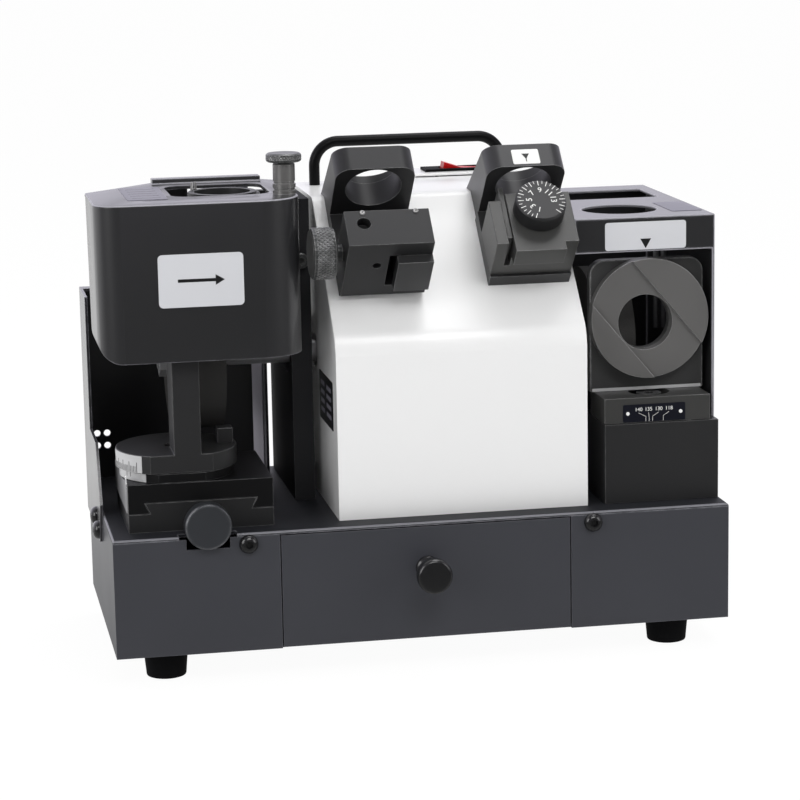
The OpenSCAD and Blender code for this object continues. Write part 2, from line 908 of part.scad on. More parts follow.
module base_front_panels() {
    color(charcoal) placed() difference() {
        union() {
            span([-base_x, 0, 0], [-opening_x, base_sheet, deck_low]);
            span([opening_x, 0, 0], [base_x, base_sheet, deck_low]);
        }
        span([feed_x - panel_notch_x, -over, panel_notch_z],
             [feed_x + panel_notch_x, base_sheet + over, deck_z]);
        for (x = [left_screw_x, right_screw_x])
            bar_y(case_screw_d + 2 * hole_gap, -over, base_sheet + over, x, deck_z - screw_drop);
    }
}

module rubber_feet() {
    well_d = 2 * foot_screw_d + 1;
    well_h = 8;
    color(soft_black) placed() each_foot() difference() {
        translate([0, 0, -foot_h]) cylinder(d1 = foot_tip_d, d2 = foot_d, h = foot_h);
        bar_z(well_d, -foot_h - over, -foot_h + well_h, 0, 0);
        bar_z(foot_screw_d + 2 * hole_gap, -foot_h, over, 0, 0);
    }
}

module foot_screws() {
    head_t = 4;
    head_z = -foot_h + 8;
    color(bright_steel) placed() each_foot() {
        bar_z(foot_screw_d, head_z, base_sheet, 0, 0);
        bar_z(foot_screw_d * 1.7, head_z - head_t, head_z, 0, 0);
        bar_z(foot_screw_d * 1.7, base_sheet, base_sheet + head_t, 0, 0);
    }
}

module case_screws() {
    color(soft_black) placed() {
        for (x = [left_screw_x, right_screw_x])
            translate([x, 0, deck_z - screw_drop]) rotate([90, 0, 0]) button_screw();
        for (p = guard_screws)
            translate([guard_x, p[0], p[1]]) rotate([0, -90, 0]) button_screw();
    }
}

module drawer_runners() {
    web_t = 2;
    y0 = front_t + 3.5;
    y1 = base_d - base_sheet - 5;
    web_x = tray_x + part_gap;
    color(charcoal) placed() for (side = [0, 1]) mirror([side, 0, 0]) {
        span([web_x + web_t - runner_w, y0, base_sheet], [web_x + web_t, y1, base_sheet + runner_t]);
        span([web_x, y0, base_sheet + runner_t], [web_x + web_t, y1, base_sheet + runner_h]);
    }
}

module drawer_front() {
    color(charcoal) placed() difference() {
        span([-opening_x + drawer_gap, 0, drawer_gap],
             [opening_x - drawer_gap, front_t, deck_low - drawer_gap]);
        bar_y(pull_screw_d + 2 * hole_gap, -over, front_t + over, 0, pull_z);
    }
}

module drawer_tray() {
    y1 = front_t + tray_len;
    color(charcoal) placed() difference() {
        span([-tray_x, front_t, tray_z], [tray_x, y1, tray_z + tray_h]);
        span([-tray_x + tray_sheet, front_t + tray_sheet, tray_z + tray_sheet],
             [tray_x - tray_sheet, y1 - tray_sheet, tray_z + tray_h + over]);
        bar_y(pull_screw_d + 2 * hole_gap, front_t - over, front_t + tray_sheet + over, 0, pull_z);
    }
}

module drawer_knob() {
    flange_d = 17;
    flange_t = 3;
    head_t = 13;
    edge = 3;
    neck_end = pull_len - head_t;
    nut_t = 4;
    screw_end = front_t + tray_sheet;
    color(soft_black) placed() translate([0, 0, pull_z]) rotate([90, 0, 0]) {
        rotate_extrude() polygon([
            [0, 0],
            [flange_d / 2, 0],
            [flange_d / 2, flange_t],
            [pull_neck_d / 2, flange_t + 1],
            [pull_neck_d / 2, neck_end - 1],
            [pull_d / 2, neck_end + edge],
            [pull_d / 2, pull_len - edge],
            [pull_d / 2 - edge, pull_len],
            [0, pull_len]
        ]);
        translate([0, 0, -screw_end]) cylinder(d = pull_screw_d, h = screw_end);
        translate([0, 0, -screw_end - nut_t]) cylinder(d = pull_screw_d * 1.8, h = nut_t);
    }
}

// Outline of the motor body in Y and Z, moved inwards by a sheet thickness
module body_outline(inset) {
    low_fold = inset * tan((90 - slope_angle) / 2);
    top_fold = inset * tan(slope_angle / 2);
    polygon([
        [body_y + inset, deck_z - inset],
        [body_y + inset, kink_z - low_fold],
        [body_y + slope_run + top_fold, body_top - inset],
        [body_back - inset, body_top - inset],
        [body_back - inset, deck_z - inset]
    ]);
}

module body_shell() {
    x0 = body_x + body_sheet;
    x1 = body_x1 - body_sheet;
    color(white_coat) placed() difference() {
        prism_x(x0, x1) difference() {
            body_outline(0);
            body_outline(body_sheet);
        }
        for (x = [handle_x0, handle_x1])
            bar_z(handle_stud_d + 2 * hole_gap, body_top - body_sheet - over, body_top + over, x, handle_y);
        on_slope() each_fixture_bolt() bar_z(bolt_d + 2 * hole_gap, -body_sheet - over, over, 0, 0);
        bar_y(wire_hole_d, body_back - body_sheet - over, body_back + over, rocker_x, inlet_z);
    }
}

// One side sheet of the motor body, open around the spindle
module body_side(x0) {
    color(white_coat) placed() difference() {
        prism_x(x0, x0 + body_sheet) body_outline(0);
        bar_x(side_hole_d, x0 - over, x0 + body_sheet + over, spindle_y, spindle_z);
    }
}

module body_left_side() {
    body_side(body_x);
}

module body_right_side() {
    body_side(body_x1 - body_sheet);
}

module carry_handle() {
    bar_z0 = body_top + handle_h - handle_d / 2;
    bend_z = bar_z0 - handle_bend;
    x1 = handle_x1;
    stud_z = body_top - body_sheet;
    nut_t = 4;
    color(soft_black) placed() {
        bar_x(handle_d, handle_x0 + handle_bend, x1 - handle_bend, handle_y, bar_z0);
        for (x = [handle_x0, x1]) {
            bar_z(handle_d, body_top, bend_z, x, handle_y);
            bar_z(handle_stud_d, stud_z, body_top, x, handle_y);
            bar_z(handle_stud_d * 1.8, stud_z - nut_t, stud_z, x, handle_y);
        }
        translate([x1 - handle_bend, handle_y, bend_z]) rotate([90, 0, 0])
            rotate_extrude(angle = 90) translate([handle_bend, 0]) circle(d = handle_d);
        translate([handle_x0 + handle_bend, handle_y, bend_z]) mirror([1, 0, 0]) rotate([90, 0, 0])
            rotate_extrude(angle = 90) translate([handle_bend, 0]) circle(d = handle_d);
    }
}

module switch_box() {
    color(white_coat) placed() difference() {
        span([box_x, body_back, box_top - box_h], [box_x + box_w, box_back, box_top]);
        span([box_x + box_sheet, body_back - over, box_top - box_h + box_sheet],
             [box_x + box_w - box_sheet, box_back - box_sheet, box_top - box_sheet]);
        span([rocker_x - well_x - well_wall - part_gap, rocker_y - well_y - well_wall - part_gap,
              box_top - box_sheet - over],
             [rocker_x + well_x + well_wall + part_gap, rocker_y + well_y + well_wall + part_gap,
              box_top + over]);
        translate([rocker_x, box_back, inlet_z])
            cube([inlet_body_w + 2 * part_gap, 4 * box_sheet, inlet_body_h + 2 * part_gap], center = true);
    }
}

module switch_bezel() {
    top = box_top + bezel_t;
    low = box_top - well_depth;
    color(soft_black) placed() difference() {
        union() {
            span([rocker_x - bezel_w / 2, rocker_y - bezel_d / 2, box_top],
                 [rocker_x + bezel_w / 2, rocker_y + bezel_d / 2, top]);
            span([rocker_x - well_x - well_wall, rocker_y - well_y - well_wall, low],
                 [rocker_x + well_x + well_wall, rocker_y + well_y + well_wall, box_top]);
        }
        span([rocker_x - well_x, rocker_y - well_y, low + well_wall],
             [rocker_x + well_x, rocker_y + well_y, top + over]);
        bar_y(rocker_pin_d + 2 * run_gap, rocker_y - well_y - well_wall - over,
              rocker_y + well_y + well_wall + over, rocker_x, rocker_z);
    }
}

module switch_rocker() {
    half = rocker_len / 2;
    end_h = 6;
    mid_h = 4.2;
    low_h = 3;
    color(red_plastic) placed() translate([rocker_x, rocker_y, rocker_z]) {
        rotate([0, rocker_tilt, 0]) prism_y(-rocker_w / 2, rocker_w / 2)
            polygon([[-half, -low_h], [half, -low_h], [half, end_h], [0, mid_h], [-half, end_h]]);
        bar_y(rocker_pin_d, -well_y - well_wall, well_y + well_wall, 0, 0);
    }
}

module power_inlet() {
    rim = 2;
    blade = [2, 14, 4];
    blade_pitch = 7;
    blade_z = 2 - blade[2] / 2;
    earth_rise = 3;
    color(soft_black) placed() translate([rocker_x, box_back, inlet_z]) difference() {
        union() {
            prism_y(0, inlet_t) round_rect(inlet_w, inlet_h, 5);
            span([-inlet_body_w / 2, inlet_t - inlet_depth, -inlet_body_h / 2],
                 [inlet_body_w / 2, 0, inlet_body_h / 2]);
        }
        difference() {
            span([-inlet_body_w / 2 + rim, inlet_t - inlet_depth + rim, -inlet_body_h / 2 + rim],
                 [inlet_body_w / 2 - rim, inlet_t + over, inlet_body_h / 2 - rim]);
            for (k = [-1, 0, 1])
                translate([k * blade_pitch - blade[0] / 2, inlet_t - inlet_depth,
                           blade_z - earth_rise * abs(k)]) cube(blade);
        }
    }
}

module motor_housing() {
    color(cast_grey) placed()
        tube_x(motor_d, motor_d - 2 * motor_wall, motor_x, motor_x1, spindle_y, spindle_z);
}

module motor_end_bells() {
    color(cast_grey) placed() for (x = [motor_x - bell_t, motor_x1])
        tube_x(motor_d, bearing_d + 2 * run_gap, x, x + bell_t, spindle_y, spindle_z);
}

module spindle_bearings() {
    color(bright_steel) placed() for (x = [motor_x - bell_t, motor_x1])
        tube_x(bearing_d, spindle_d + 2 * run_gap, x, x + bell_t, spindle_y, spindle_z);
}

module motor_stator() {
    fit_d = motor_d - 2 * motor_wall - 2 * run_gap;
    color(grey_steel) placed()
        tube_x(fit_d, stator_d, motor_mid - stack_len / 2, motor_mid + stack_len / 2, spindle_y, spindle_z);
}

module motor_rotor() {
    color(bright_steel) placed()
        tube_x(stator_d - 2 * air_gap, spindle_d + 2 * run_gap,
               motor_mid - stack_len / 2, motor_mid + stack_len / 2, spindle_y, spindle_z);
}

module motor_cradle() {
    color(cast_grey) placed() difference() {
        span([motor_mid - cradle_w / 2, spindle_y - cradle_d / 2, deck_z],
             [motor_mid + cradle_w / 2, spindle_y + cradle_d / 2, spindle_z - cradle_drop]);
        bar_x(motor_d + 2 * run_gap, motor_mid - cradle_w, motor_mid + cradle_w, spindle_y, spindle_z);
    }
}

module spindle_shaft() {
    color(bright_steel) placed() bar_x(spindle_d, spindle_x0, spindle_x1, spindle_y, spindle_z);
}

module mill_wheel() {
    x1 = mill_wheel_x + mill_wheel_w;
    bore = spindle_d + 2 * run_gap;
    color(abrasive) placed() difference() {
        tube_x(wheel_d, bore, mill_wheel_x, x1, spindle_y, spindle_z);
        bar_x(wheel_d - 2 * wheel_rim, mill_wheel_x + wheel_web, x1 + over, spindle_y, spindle_z);
    }
}

module drill_wheel() {
    color(abrasive) placed() tube_x(wheel_d, spindle_d + 2 * run_gap, drill_wheel_x,
                                    drill_wheel_x + drill_wheel_w, spindle_y, spindle_z);
}

// Hexagon nut on the spindle
module spindle_nut(x) {
    difference() {
        translate([x, spindle_y, spindle_z]) rotate([0, 90, 0])
            cylinder(d = wheel_nut_d, h = wheel_nut_t, $fn = 6);
        bar_x(spindle_d + 2 * run_gap, x - over, x + wheel_nut_t + over, spindle_y, spindle_z);
    }
}

module wheel_nuts() {
    mill_collar_x = mill_wheel_x + wheel_web;
    bore = spindle_d + 2 * run_gap;
    color(bright_steel) placed() {
        spindle_nut(mill_wheel_x - wheel_nut_t);
        spindle_nut(drill_wheel_x + drill_wheel_w);
        tube_x(collar_d, bore, mill_collar_x, mill_collar_x + collar_t, spindle_y, spindle_z);
        tube_x(collar_d, bore, drill_wheel_x - collar_t, drill_wheel_x, spindle_y, spindle_z);
    }
}

// Outline of the dovetail in X and Z, wider and higher by a clearance
module dovetail(gap, low) {
    lean = (dove_top_w - dove_root_w) / 2 / dove_rise;
    root = dove_root_w / 2 + gap - lean * low;
    top = dove_top_w / 2 + gap + lean * gap;
    rise = dove_rise + gap;
    translate([mill_x, dove_z]) polygon([[-root, -low], [root, -low], [top, rise], [-top, rise]]);
}

module dovetail_base() {
    color(black_steel) placed() difference() {
        union() {
            span([mill_x - dove_w / 2, mill_y, deck_z], [mill_x + dove_w / 2, dove_y1, dove_z]);
            prism_y(mill_y, dove_y1) dovetail(0, 0);
        }
        span([feed_x - channel_w / 2, mill_y + channel_wall, deck_z + channel_floor],
             [feed_x + channel_w / 2, dove_y1 - channel_wall, dove_z + dove_rise + over]);
        bar_y(feed_d + 2 * run_gap, mill_y - over, dove_y1 + over, feed_x, feed_z);
    }
}

module dovetail_slide() {
    nut_x = channel_w / 2 - 1;
    nut_y = mill_y + dove_len / 2 - feed_nut_len / 2;
    nut_low = deck_z + channel_floor + 2 * part_gap;
    color(black_steel) placed() difference() {
        union() {
            difference() {
                span([mill_x - dove_w / 2, mill_y, slide_z], [mill_x + dove_w / 2, dove_y1, slide_top]);
                prism_y(mill_y - over, dove_y1 + over) dovetail(part_gap, over);
            }
            span([feed_x - nut_x, nut_y, nut_low],
                 [feed_x + nut_x, nut_y + feed_nut_len, dove_z + dove_rise + 2 * part_gap]);
        }
        bar_y(feed_d + 2 * part_gap, nut_y - over, nut_y + feed_nut_len + over, feed_x, feed_z);
    }
}

module feed_screw() {
    nut_t = 4;
    nut_d = 12;
    color(bright_steel) placed() {
        bar_y(feed_d, knob_y1 - feed_knob_t / 2, dove_y1 + part_gap, feed_x, feed_z);
        bar_y(nut_d, dove_y1 + part_gap, dove_y1 + part_gap + nut_t, feed_x, feed_z);
    }
}

module feed_knob() {
    edge = 1;
    color(black_steel) placed() translate([feed_x, knob_y1, feed_z]) rotate([90, 0, 0]) difference() {
        rotate_extrude() polygon([
            [0, 0],
            [feed_knob_d / 2 - edge, 0],
            [feed_knob_d / 2, edge],
            [feed_knob_d / 2, feed_knob_t - edge],
            [feed_knob_d / 2 - edge, feed_knob_t],
            [0, feed_knob_t]
        ]);
        translate([0, 0, -over]) cylinder(d = feed_d + 2 * run_gap, h = feed_knob_t / 2 + over);
    }
}

// Round disc about the swivel axis with a flat at its front
module swivel_disc(r, z0, z1) {
    difference() {
        bar_z(2 * r, z0, z1, swivel_x, swivel_y);
        span([swivel_x - r - over, swivel_y - r - over, z0 - over],
             [swivel_x + r + over, swivel_y - swivel_flat, z1 + over]);
    }
}

module angle_scale() {
    color(grey_steel) placed() {
        swivel_disc(scale_r, slide_top, scale_top);
        bar_z(spigot_d, scale_top, disc_top - 2, swivel_x, swivel_y);
    }
}

module swivel_bracket() {
    rib_y = upright_y + upright_d;
    rib_low_d = 16;
    rib_top_d = 26;
    rib_step = cover_z + 8;
    color(black_steel) placed() difference() {
        union() {
            swivel_disc(swivel_r, disc_z, disc_top);
            span([upright_x0, upright_y, disc_top], [upright_x1, rib_y, seat_z]);
            span([upright_x0, rib_y, disc_top], [upright_x0 + rib_t, rib_y + rib_low_d, rib_step]);
            span([upright_x0, rib_y, rib_step], [upright_x0 + rib_t, rib_y + rib_top_d, seat_z]);
        }
        bar_z(spigot_d + 2 * run_gap, disc_z - over, disc_top + over, swivel_x, swivel_y);
    }
}

module swivel_lock_nut() {
    color(soft_black) placed()
        span([lock_x - lock_nut / 2, swivel_y - lock_nut / 2, disc_top],
             [lock_x + lock_nut / 2, swivel_y + lock_nut / 2, disc_top + lock_nut]);
}

module mill_seat() {
    plate_ring = seat_r + 3;
    arm_front = 4;
    arm_right = [17, -21];
    arm_left = [-30, 19];
    color(black_steel) placed() difference() {
        union() {
            bar_z(2 * plate_ring, seat_z, seat_plate_top, seat_x, seat_y);
            bar_z(2 * seat_r, seat_plate_top, seat_top, seat_x, seat_y);
            translate([0, 0, seat_z]) linear_extrude(seat_t) polygon([
                [upright_x0, upright_y],
                [upright_x1 + arm_front, upright_y],
                [seat_x + arm_right[0], seat_y + arm_right[1]],
                [seat_x, seat_y + plate_ring],
                [seat_x + arm_left[0], seat_y + arm_left[1]],
                [upright_x0, upright_y + arm_len]
            ]);
        }
        bar_z(chuck_d, seat_z - over, seat_top + over, seat_x, seat_y);
        bar_z(index_d + 2 * run_gap, seat_plate_top - index_sunk, seat_top, index_x, index_y);
    }
}

module index_pin() {
    color(bright_steel) placed()
        bar_z(index_d, seat_plate_top - index_sunk, seat_plate_top + index_h, index_x, index_y);
}

// Plan of the cover walls in X and Y with round front corners, moved inwards by a thickness
module cover_plan(inset) {
    r_left = cover_r_left - inset;
    r_right = cover_r_right - inset;
    x0 = cover_x + inset;
    x1 = cover_x1 - inset;
    y0 = cover_y + inset;
    y1 = cover_rear + over;
    translate([x0 + r_left, y0]) square([x1 - x0 - r_left - r_right, y1 - y0]);
    translate([x0, y0 + r_left]) square([2 * r_left, y1 - y0 - r_left]);
    translate([x1 - 2 * r_right, y0 + r_right]) square([2 * r_right, y1 - y0 - r_right]);
    translate([x0 + r_left, y0 + r_left]) circle(r_left);
    translate([x1 - r_right, y0 + r_right]) circle(r_right);
}

// Walls of the cover, with a raked rear edge and one round lower corner
module cover_walls() {
    lean = (side_top - side_low) / (cover_top - cover_z);
    far = cover_rear + 2 * over;
    corner_x = cover_x + cover_r_low;
    corner_z = cover_z + cover_r_low;
    difference() {
        translate([0, 0, cover_z]) linear_extrude(cover_top - cover_z) difference() {
            cover_plan(0);
            cover_plan(cover_sheet);
        }
        prism_x(cover_x - over, cover_x1 + over) polygon([
            [cover_y + side_low - over * lean, cover_z - over],
            [cover_y + side_top + over * lean, cover_top + over],
            [far, cover_top + over],
            [far, cover_z - over]
        ]);
        prism_y(cover_y - over, far) difference() {
            translate([cover_x - over, cover_z - over]) square(cover_r_low + over);
            translate([corner_x, corner_z]) circle(cover_r_low);
        }
    }
}

module cover_top_plate() {
    cut = 12;
    low = cover_top - cover_sheet;
    translate([0, 0, low]) linear_extrude(cover_sheet) difference() {
        intersection() {
            cover_plan(0);
            polygon([
                [cover_x, cover_y],
                [cover_x1, cover_y],
                [cover_x1, cover_rear - cut],
                [cover_x1 - cut, cover_rear],
                [cover_x + top_cut_w, cover_rear],
                [cover_x, cover_rear - top_cut_d]
            ]);
        }
        translate([hatch_x, hatch_y]) round_rect(hatch_w, hatch_d, hatch_r);
        translate([plunger_x, plunger_y]) circle(d = bush_spigot_d + 2 * hole_gap);
    }
}

// Arm and knuckle on the cover
module cover_knuckle(x0, x1) {
    low = cover_top - cover_sheet;
    front = cover_rear - hinge_arm_t;
    difference() {
        union() {
            bar_x(knuckle_d, x0, x1, hinge_y, hinge_z);
            prism_x(x0, x1) polygon([
                [front, low],
                [cover_rear, low],
                [cover_rear, hinge_z + knuckle_d / 2],
                [hinge_y, hinge_z + knuckle_d / 2],
                [hinge_y, hinge_z],
                [front, hinge_z]
            ]);
        }
        bar_x(hinge_d + 2 * run_gap, x0 - over, x1 + over, hinge_y, hinge_z);
    }
}

module mill_cover() {
    lip_t = 3.5;
    lip_d = 12;
    color(black_coat) placed() {
        cover_walls();
        cover_top_plate();
        span([cover_x + lip_in, cover_rear - lip_d, cover_top],
             [cover_x + lip_in + lip_w, cover_rear, cover_top + lip_t]);
        cover_knuckle(hinge_x - knuckle_out, hinge_x - knuckle_in);
        cover_knuckle(hinge_x + knuckle_in, hinge_x + knuckle_out);
    }
}

module plunger_bush() {
    color(black_steel) placed() difference() {
        union() {
            bar_z(bush_d, cover_top, cover_top + bush_h, plunger_x, plunger_y);
            bar_z(bush_spigot_d, cover_top - bush_spigot_h, cover_top, plunger_x, plunger_y);
        }
        bar_z(plunger_pin_d + 2 * run_gap, cover_top - bush_spigot_h - over, cover_top + bush_h + over,
              plunger_x, plunger_y);
    }
}

module plunger_pin() {
    edge = 1;
    color(black_steel) placed() translate([plunger_x, plunger_y, 0]) {
        bar_z(plunger_tip_d, catch_top - tip_reach, catch_top + 2, 0, 0);
        bar_z(plunger_pin_d, catch_top + 2, plunger_head_z, 0, 0);
        translate([0, 0, plunger_head_z]) rotate_extrude() polygon([
            [0, 0],
            [plunger_d / 2 - edge, 0],
            [plunger_d / 2, edge],
            [plunger_d / 2, plunger_h - edge],
            [plunger_d / 2 - edge, plunger_h],
            [0, plunger_h]
        ]);
    }
}

// Fixed lug of the hinge
module hinge_lug(x0, x1) {
    difference() {
        union() {
            bar_x(knuckle_d, x0, x1, hinge_y, hinge_z);
            span([x0, hinge_y, hinge_z - knuckle_d / 2], [x1, bar_y0, hinge_z + knuckle_d / 2]);
        }
        bar_x(hinge_d + 2 * run_gap, x0 - over, x1 + over, hinge_y, hinge_z);
    }
}

module cover_hinge_bar() {
    color(black_steel) placed() {
        span([hinge_x - hinge_end, bar_y0, bar_low], [post_x, post_back, post_top]);
        hinge_lug(hinge_x - hinge_end, hinge_x - knuckle_out - lug_gap);
        hinge_lug(hinge_x - knuckle_in + lug_gap, hinge_x + knuckle_in - lug_gap);
        hinge_lug(hinge_x + knuckle_out + lug_gap, hinge_x + hinge_end);
    }
}

module cover_hinge_pin() {
    color(bright_steel) placed() bar_x(hinge_d, hinge_x - hinge_end, hinge_x + hinge_end, hinge_y, hinge_z);
}

module support_post() {
    arm_x0 = plunger_x - 6.5;
    arm_x1 = plunger_x + 5;
    arm_y0 = plunger_y - 10;
    arm_y1 = post_y + 8;
    color(black_steel) placed() difference() {
        union() {
            span([post_x, post_y, deck_z], [post_x + post_w, post_back, post_top]);
            span([post_x, post_y, deck_z],
                 [post_x + post_w, post_y + post_foot_d, deck_z + post_foot_h]);
            span([arm_x0, arm_y0, catch_z], [arm_x1, arm_y1, catch_top]);
            span([arm_x0, post_y, catch_z], [post_x, arm_y1, catch_top]);
        }
        bar_x(post_hole_d, post_x - over, post_x + post_w + over, spindle_y, spindle_z);
        bar_z(plunger_tip_d + 2, catch_z - over, catch_top + over, plunger_x, plunger_y);
    }
}

module rear_guard() {
    hole_d = 5;
    hole_x = guard_x + 9;
    hole_z = deck_z + 25;
    hole_pitch = [7.5, 9.5];
    x1 = guard_x + guard_w;
    back_y = guard_y1 - guard_t;
    shoulder_z = deck_z + guard_shoulder_h;
    color(black_coat) placed() difference() {
        union() {
            prism_x(guard_x, guard_x + guard_t) polygon([
                [guard_y1, deck_z - guard_drop],
                [guard_y1 - guard_foot, deck_z - guard_drop],
                [guard_y1 - guard_wide, deck_z + guard_wide_h],
                [guard_y1 - guard_shoulder, shoulder_z],
                [guard_y1 - guard_upper, shoulder_z],
                [guard_y1 - guard_upper + guard_lean, guard_top],
                [guard_y1, guard_top]
            ]);
            span([guard_x + guard_t, back_y, deck_z], [x1, guard_y1, guard_top]);
            span([x1 - guard_t, guard_y1 - guard_turn, deck_z], [x1, guard_y1, guard_top]);
            span([guard_x + guard_t, guard_y1 - guard_flange, guard_top - guard_t],
                 [x1 - guard_t, back_y, guard_top]);
        }
        for (p = guard_screws)
            bar_x(case_screw_d + 2 * hole_gap, guard_x - over, guard_x + guard_t + over, p[0], p[1]);
        for (x = [0, 1], z = [0, 1])
            bar_y(hole_d, back_y - over, guard_y1 + over,
                  hole_x + hole_pitch[0] * x, hole_z + hole_pitch[1] * z);
    }
}

// Outline of a chuck ring in X and n above a low edge
module ring_outline(low) {
    half = ring_w / 2;
    translate([-half, low]) square([ring_w, ring_h - ring_round - low]);
    translate([-half + ring_round, low]) square([ring_w - 2 * ring_round, ring_h - low]);
    for (side = [-1, 1])
        translate([side * (half - ring_round), ring_h - ring_round]) circle(ring_round);
}

// Heel behind a chuck ring, on the body top
module ring_heel(x, back) {
    heel_s = slope_len + heel_len * cos(slope_angle);
    heel_n = part_gap - heel_len * sin(slope_angle);
    difference() {
        intersection() {
            translate([x, 0, 0]) prism_y(back - over, heel_s + over) ring_outline(heel_n - over);
            prism_x(x - ring_w, x + ring_w) polygon([
                [back - over, 0],
                [back - over, ring_h],
                [back, ring_h],
                [heel_s, heel_n],
                [slope_len, 0]
            ]);
        }
        bar_y(chuck_d + 2 * heel_room, back, heel_s + over, x, ring_bore_n);
    }
}

// Chuck ring with its base plate and heel
module chuck_ring(x, s, plate_s, plate_x) {
    half = ring_w / 2;
    color(black_steel) placed() on_slope() difference() {
        union() {
            translate([x, 0, 0]) prism_y(s, s + ring_len) ring_outline(0);
            ring_heel(x, s + ring_len);
            span([x - half, plate_s, 0], [x + half, s + ring_len / 2, fixture_t]);
            span([x - plate_x, plate_s, 0], [x + plate_x, s, fixture_t]);
        }
        bar_y(chuck_d, s - over, s + ring_len + over, x, ring_bore_n);
        each_fixture_bolt() bar_z(bolt_d + 2 * hole_gap, -over, fixture_t - 2, 0, 0);
    }
}

// Places children at each fixture bolt
module each_fixture_bolt() {
    left_back = 16;
    right_back = 8;
    half_pitch = 16;
    for (dx = [-half_pitch, half_pitch]) {
        translate([left_x + dx, left_ring_s - left_back, 0]) children();
        translate([right_x + dx, right_ring_s - right_back, 0]) children();
    }
}

module fixture_bolts() {
    color(bright_steel) placed() on_slope() each_fixture_bolt() {
        bar_z(bolt_d, -body_sheet, fixture_t - 2, 0, 0);
        bar_z(bolt_head_d, -body_sheet - bolt_head_t, -body_sheet, 0, 0);
    }
}

module left_ring() {
    chuck_ring(left_x, left_ring_s, stop_s + stop_len, ring_w / 2);
}

module right_ring() {
    chuck_ring(right_x, right_ring_s, right_plate_s, right_half);
}

module left_stop_block() {
    top_hole_d = 9.5;
    top_hole_x = stop_x + 13;
    front_hole_d = 6;
    front_hole_x = stop_x + 22;
    hole_depth = 8;
    toe = [4, 5];
    color(black_steel) placed() on_slope() difference() {
        span([stop_x, stop_s, 0], [stop_x1, stop_s + stop_len, stop_h]);
        span([stop_x - over, stop_s - over, -over], [stop_x1 + over, stop_s + toe[0], toe[1]]);
        span([slot_x, stop_s - over, slot_n], [stop_x1 + over, slot_s1, slot_n + slot_h]);
        bar_x(adjust_d + 2 * run_gap, stop_x - over, slot_x + over, adjust_s, adjust_n);
        bar_z(top_hole_d, stop_h - hole_depth, stop_h + over, top_hole_x, adjust_s + 4);
        bar_y(front_hole_d, stop_s - over, stop_s + hole_depth, front_hole_x, adjust_n + 3);
    }
}

module left_slider() {
    lip = 2;
    rise = 2;
    color(black_steel) placed() on_slope() difference() {
        union() {
            span([slider_x - lip, stop_s - part_gap - slider_t, slot_n + rise],
                 [stop_x1, stop_s - part_gap, slot_n + slot_h]);
            span([slider_x, stop_s - part_gap, slot_n + part_gap],
                 [stop_x1, slot_s1 - part_gap, slot_n + slot_h - part_gap]);
        }
        bar_x(adjust_d + 2 * part_gap, slider_x - over, stop_x1 + over, adjust_s, adjust_n);
    }
}

module left_knob() {
    edge = 1;
    collar = 12;
    color(black_steel) placed() on_slope() translate([left_knob_x1, adjust_s, adjust_n]) {
        rotate([0, -90, 0]) rotate_extrude() polygon([
            [0, 0],
            [left_knob_d / 2 - edge, 0],
            [left_knob_d / 2, edge],
            [left_knob_d / 2, left_knob_w - edge],
            [left_knob_d / 2 - edge, left_knob_w],
            [0, left_knob_w]
        ]);
        bar_x(collar, 0, left_knob_gap - part_gap, 0, 0);
        bar_x(adjust_d, left_knob_gap - part_gap, slider_x + slider_w / 2 - left_knob_x1, 0, 0);
    }
}

module right_stop_block() {
    left_s1 = right_block_s + right_left_len;
    right_s1 = right_block_s + right_right_len;
    pin_low = right_block_top - dial_pin_len - 1;
    nose_x1 = right_block_x1 - 10;
    color(black_steel) placed() on_slope() difference() {
        union() {
            span([right_block_x, right_block_s, fixture_t], [right_block_x1, left_s1, fixture_t + bridge_t]);
            span([right_block_x, right_block_s, fixture_t + bridge_t],
                 [blade_x - blade_room, left_s1, right_block_top]);
            span([blade_x + blade_room, right_block_s, fixture_t + bridge_t],
                 [right_block_x1, right_s1, right_block_top]);
            span([blade_x + blade_room, right_block_s - nose_len, right_block_top - nose_h],
                 [nose_x1, right_s1, right_block_top]);
        }
        bar_z(dial_pin_d + 2 * run_gap, pin_low, right_block_top + over, dial_x, dial_s);
    }
}

module right_stop() {
    color(black_steel) placed() on_slope()
        span([blade_x - blade_t / 2, blade_s, blade_n], [blade_x + blade_t / 2, blade_s1, blade_n + blade_h]);
}

module right_dial() {
    edge = 1.5;
    color(soft_black) placed() on_slope() translate([dial_x, dial_s, 0]) {
        bar_z(dial_pin_d, right_block_top - dial_pin_len, dial_n, 0, 0);
        translate([0, 0, dial_n]) rotate_extrude() polygon([
            [0, 0],
            [dial_d / 2, 0],
            [dial_d / 2, dial_t - edge],
            [dial_d / 2 - edge, dial_t],
            [0, dial_t]
        ]);
    }
}

module drill_pedestal() {
    x1 = ped_x + ped_w;
    y1 = ped_y + ped_d;
    color(black_steel) placed() difference() {
        span([ped_x, ped_y, deck_z], [x1, y1, ped_top]);
        span([ped_x + ped_wall, pivot_y + pivot_d, deck_z - over],
             [x1 - ped_wall, y1 - ped_wall, ped_top - 2 * ped_wall]);
        bar_z(pivot_d + 2 * hole_gap, pivot_low, ped_top + over, drill_x, pivot_y);
    }
}

module drill_pivot_bolt() {
    head_z = block_top - recess_t + part_gap;
    socket_d = pivot_d * 0.8;
    color(black_steel) placed() difference() {
        union() {
            bar_z(pivot_d, pivot_low, head_z, drill_x, pivot_y);
            bar_z(pivot_head_d, head_z, head_z + pivot_head_h, drill_x, pivot_y);
        }
        translate([drill_x, pivot_y, head_z + pivot_head_h / 2])
            cylinder(d = socket_d, h = pivot_head_h, $fn = 6);
    }
}

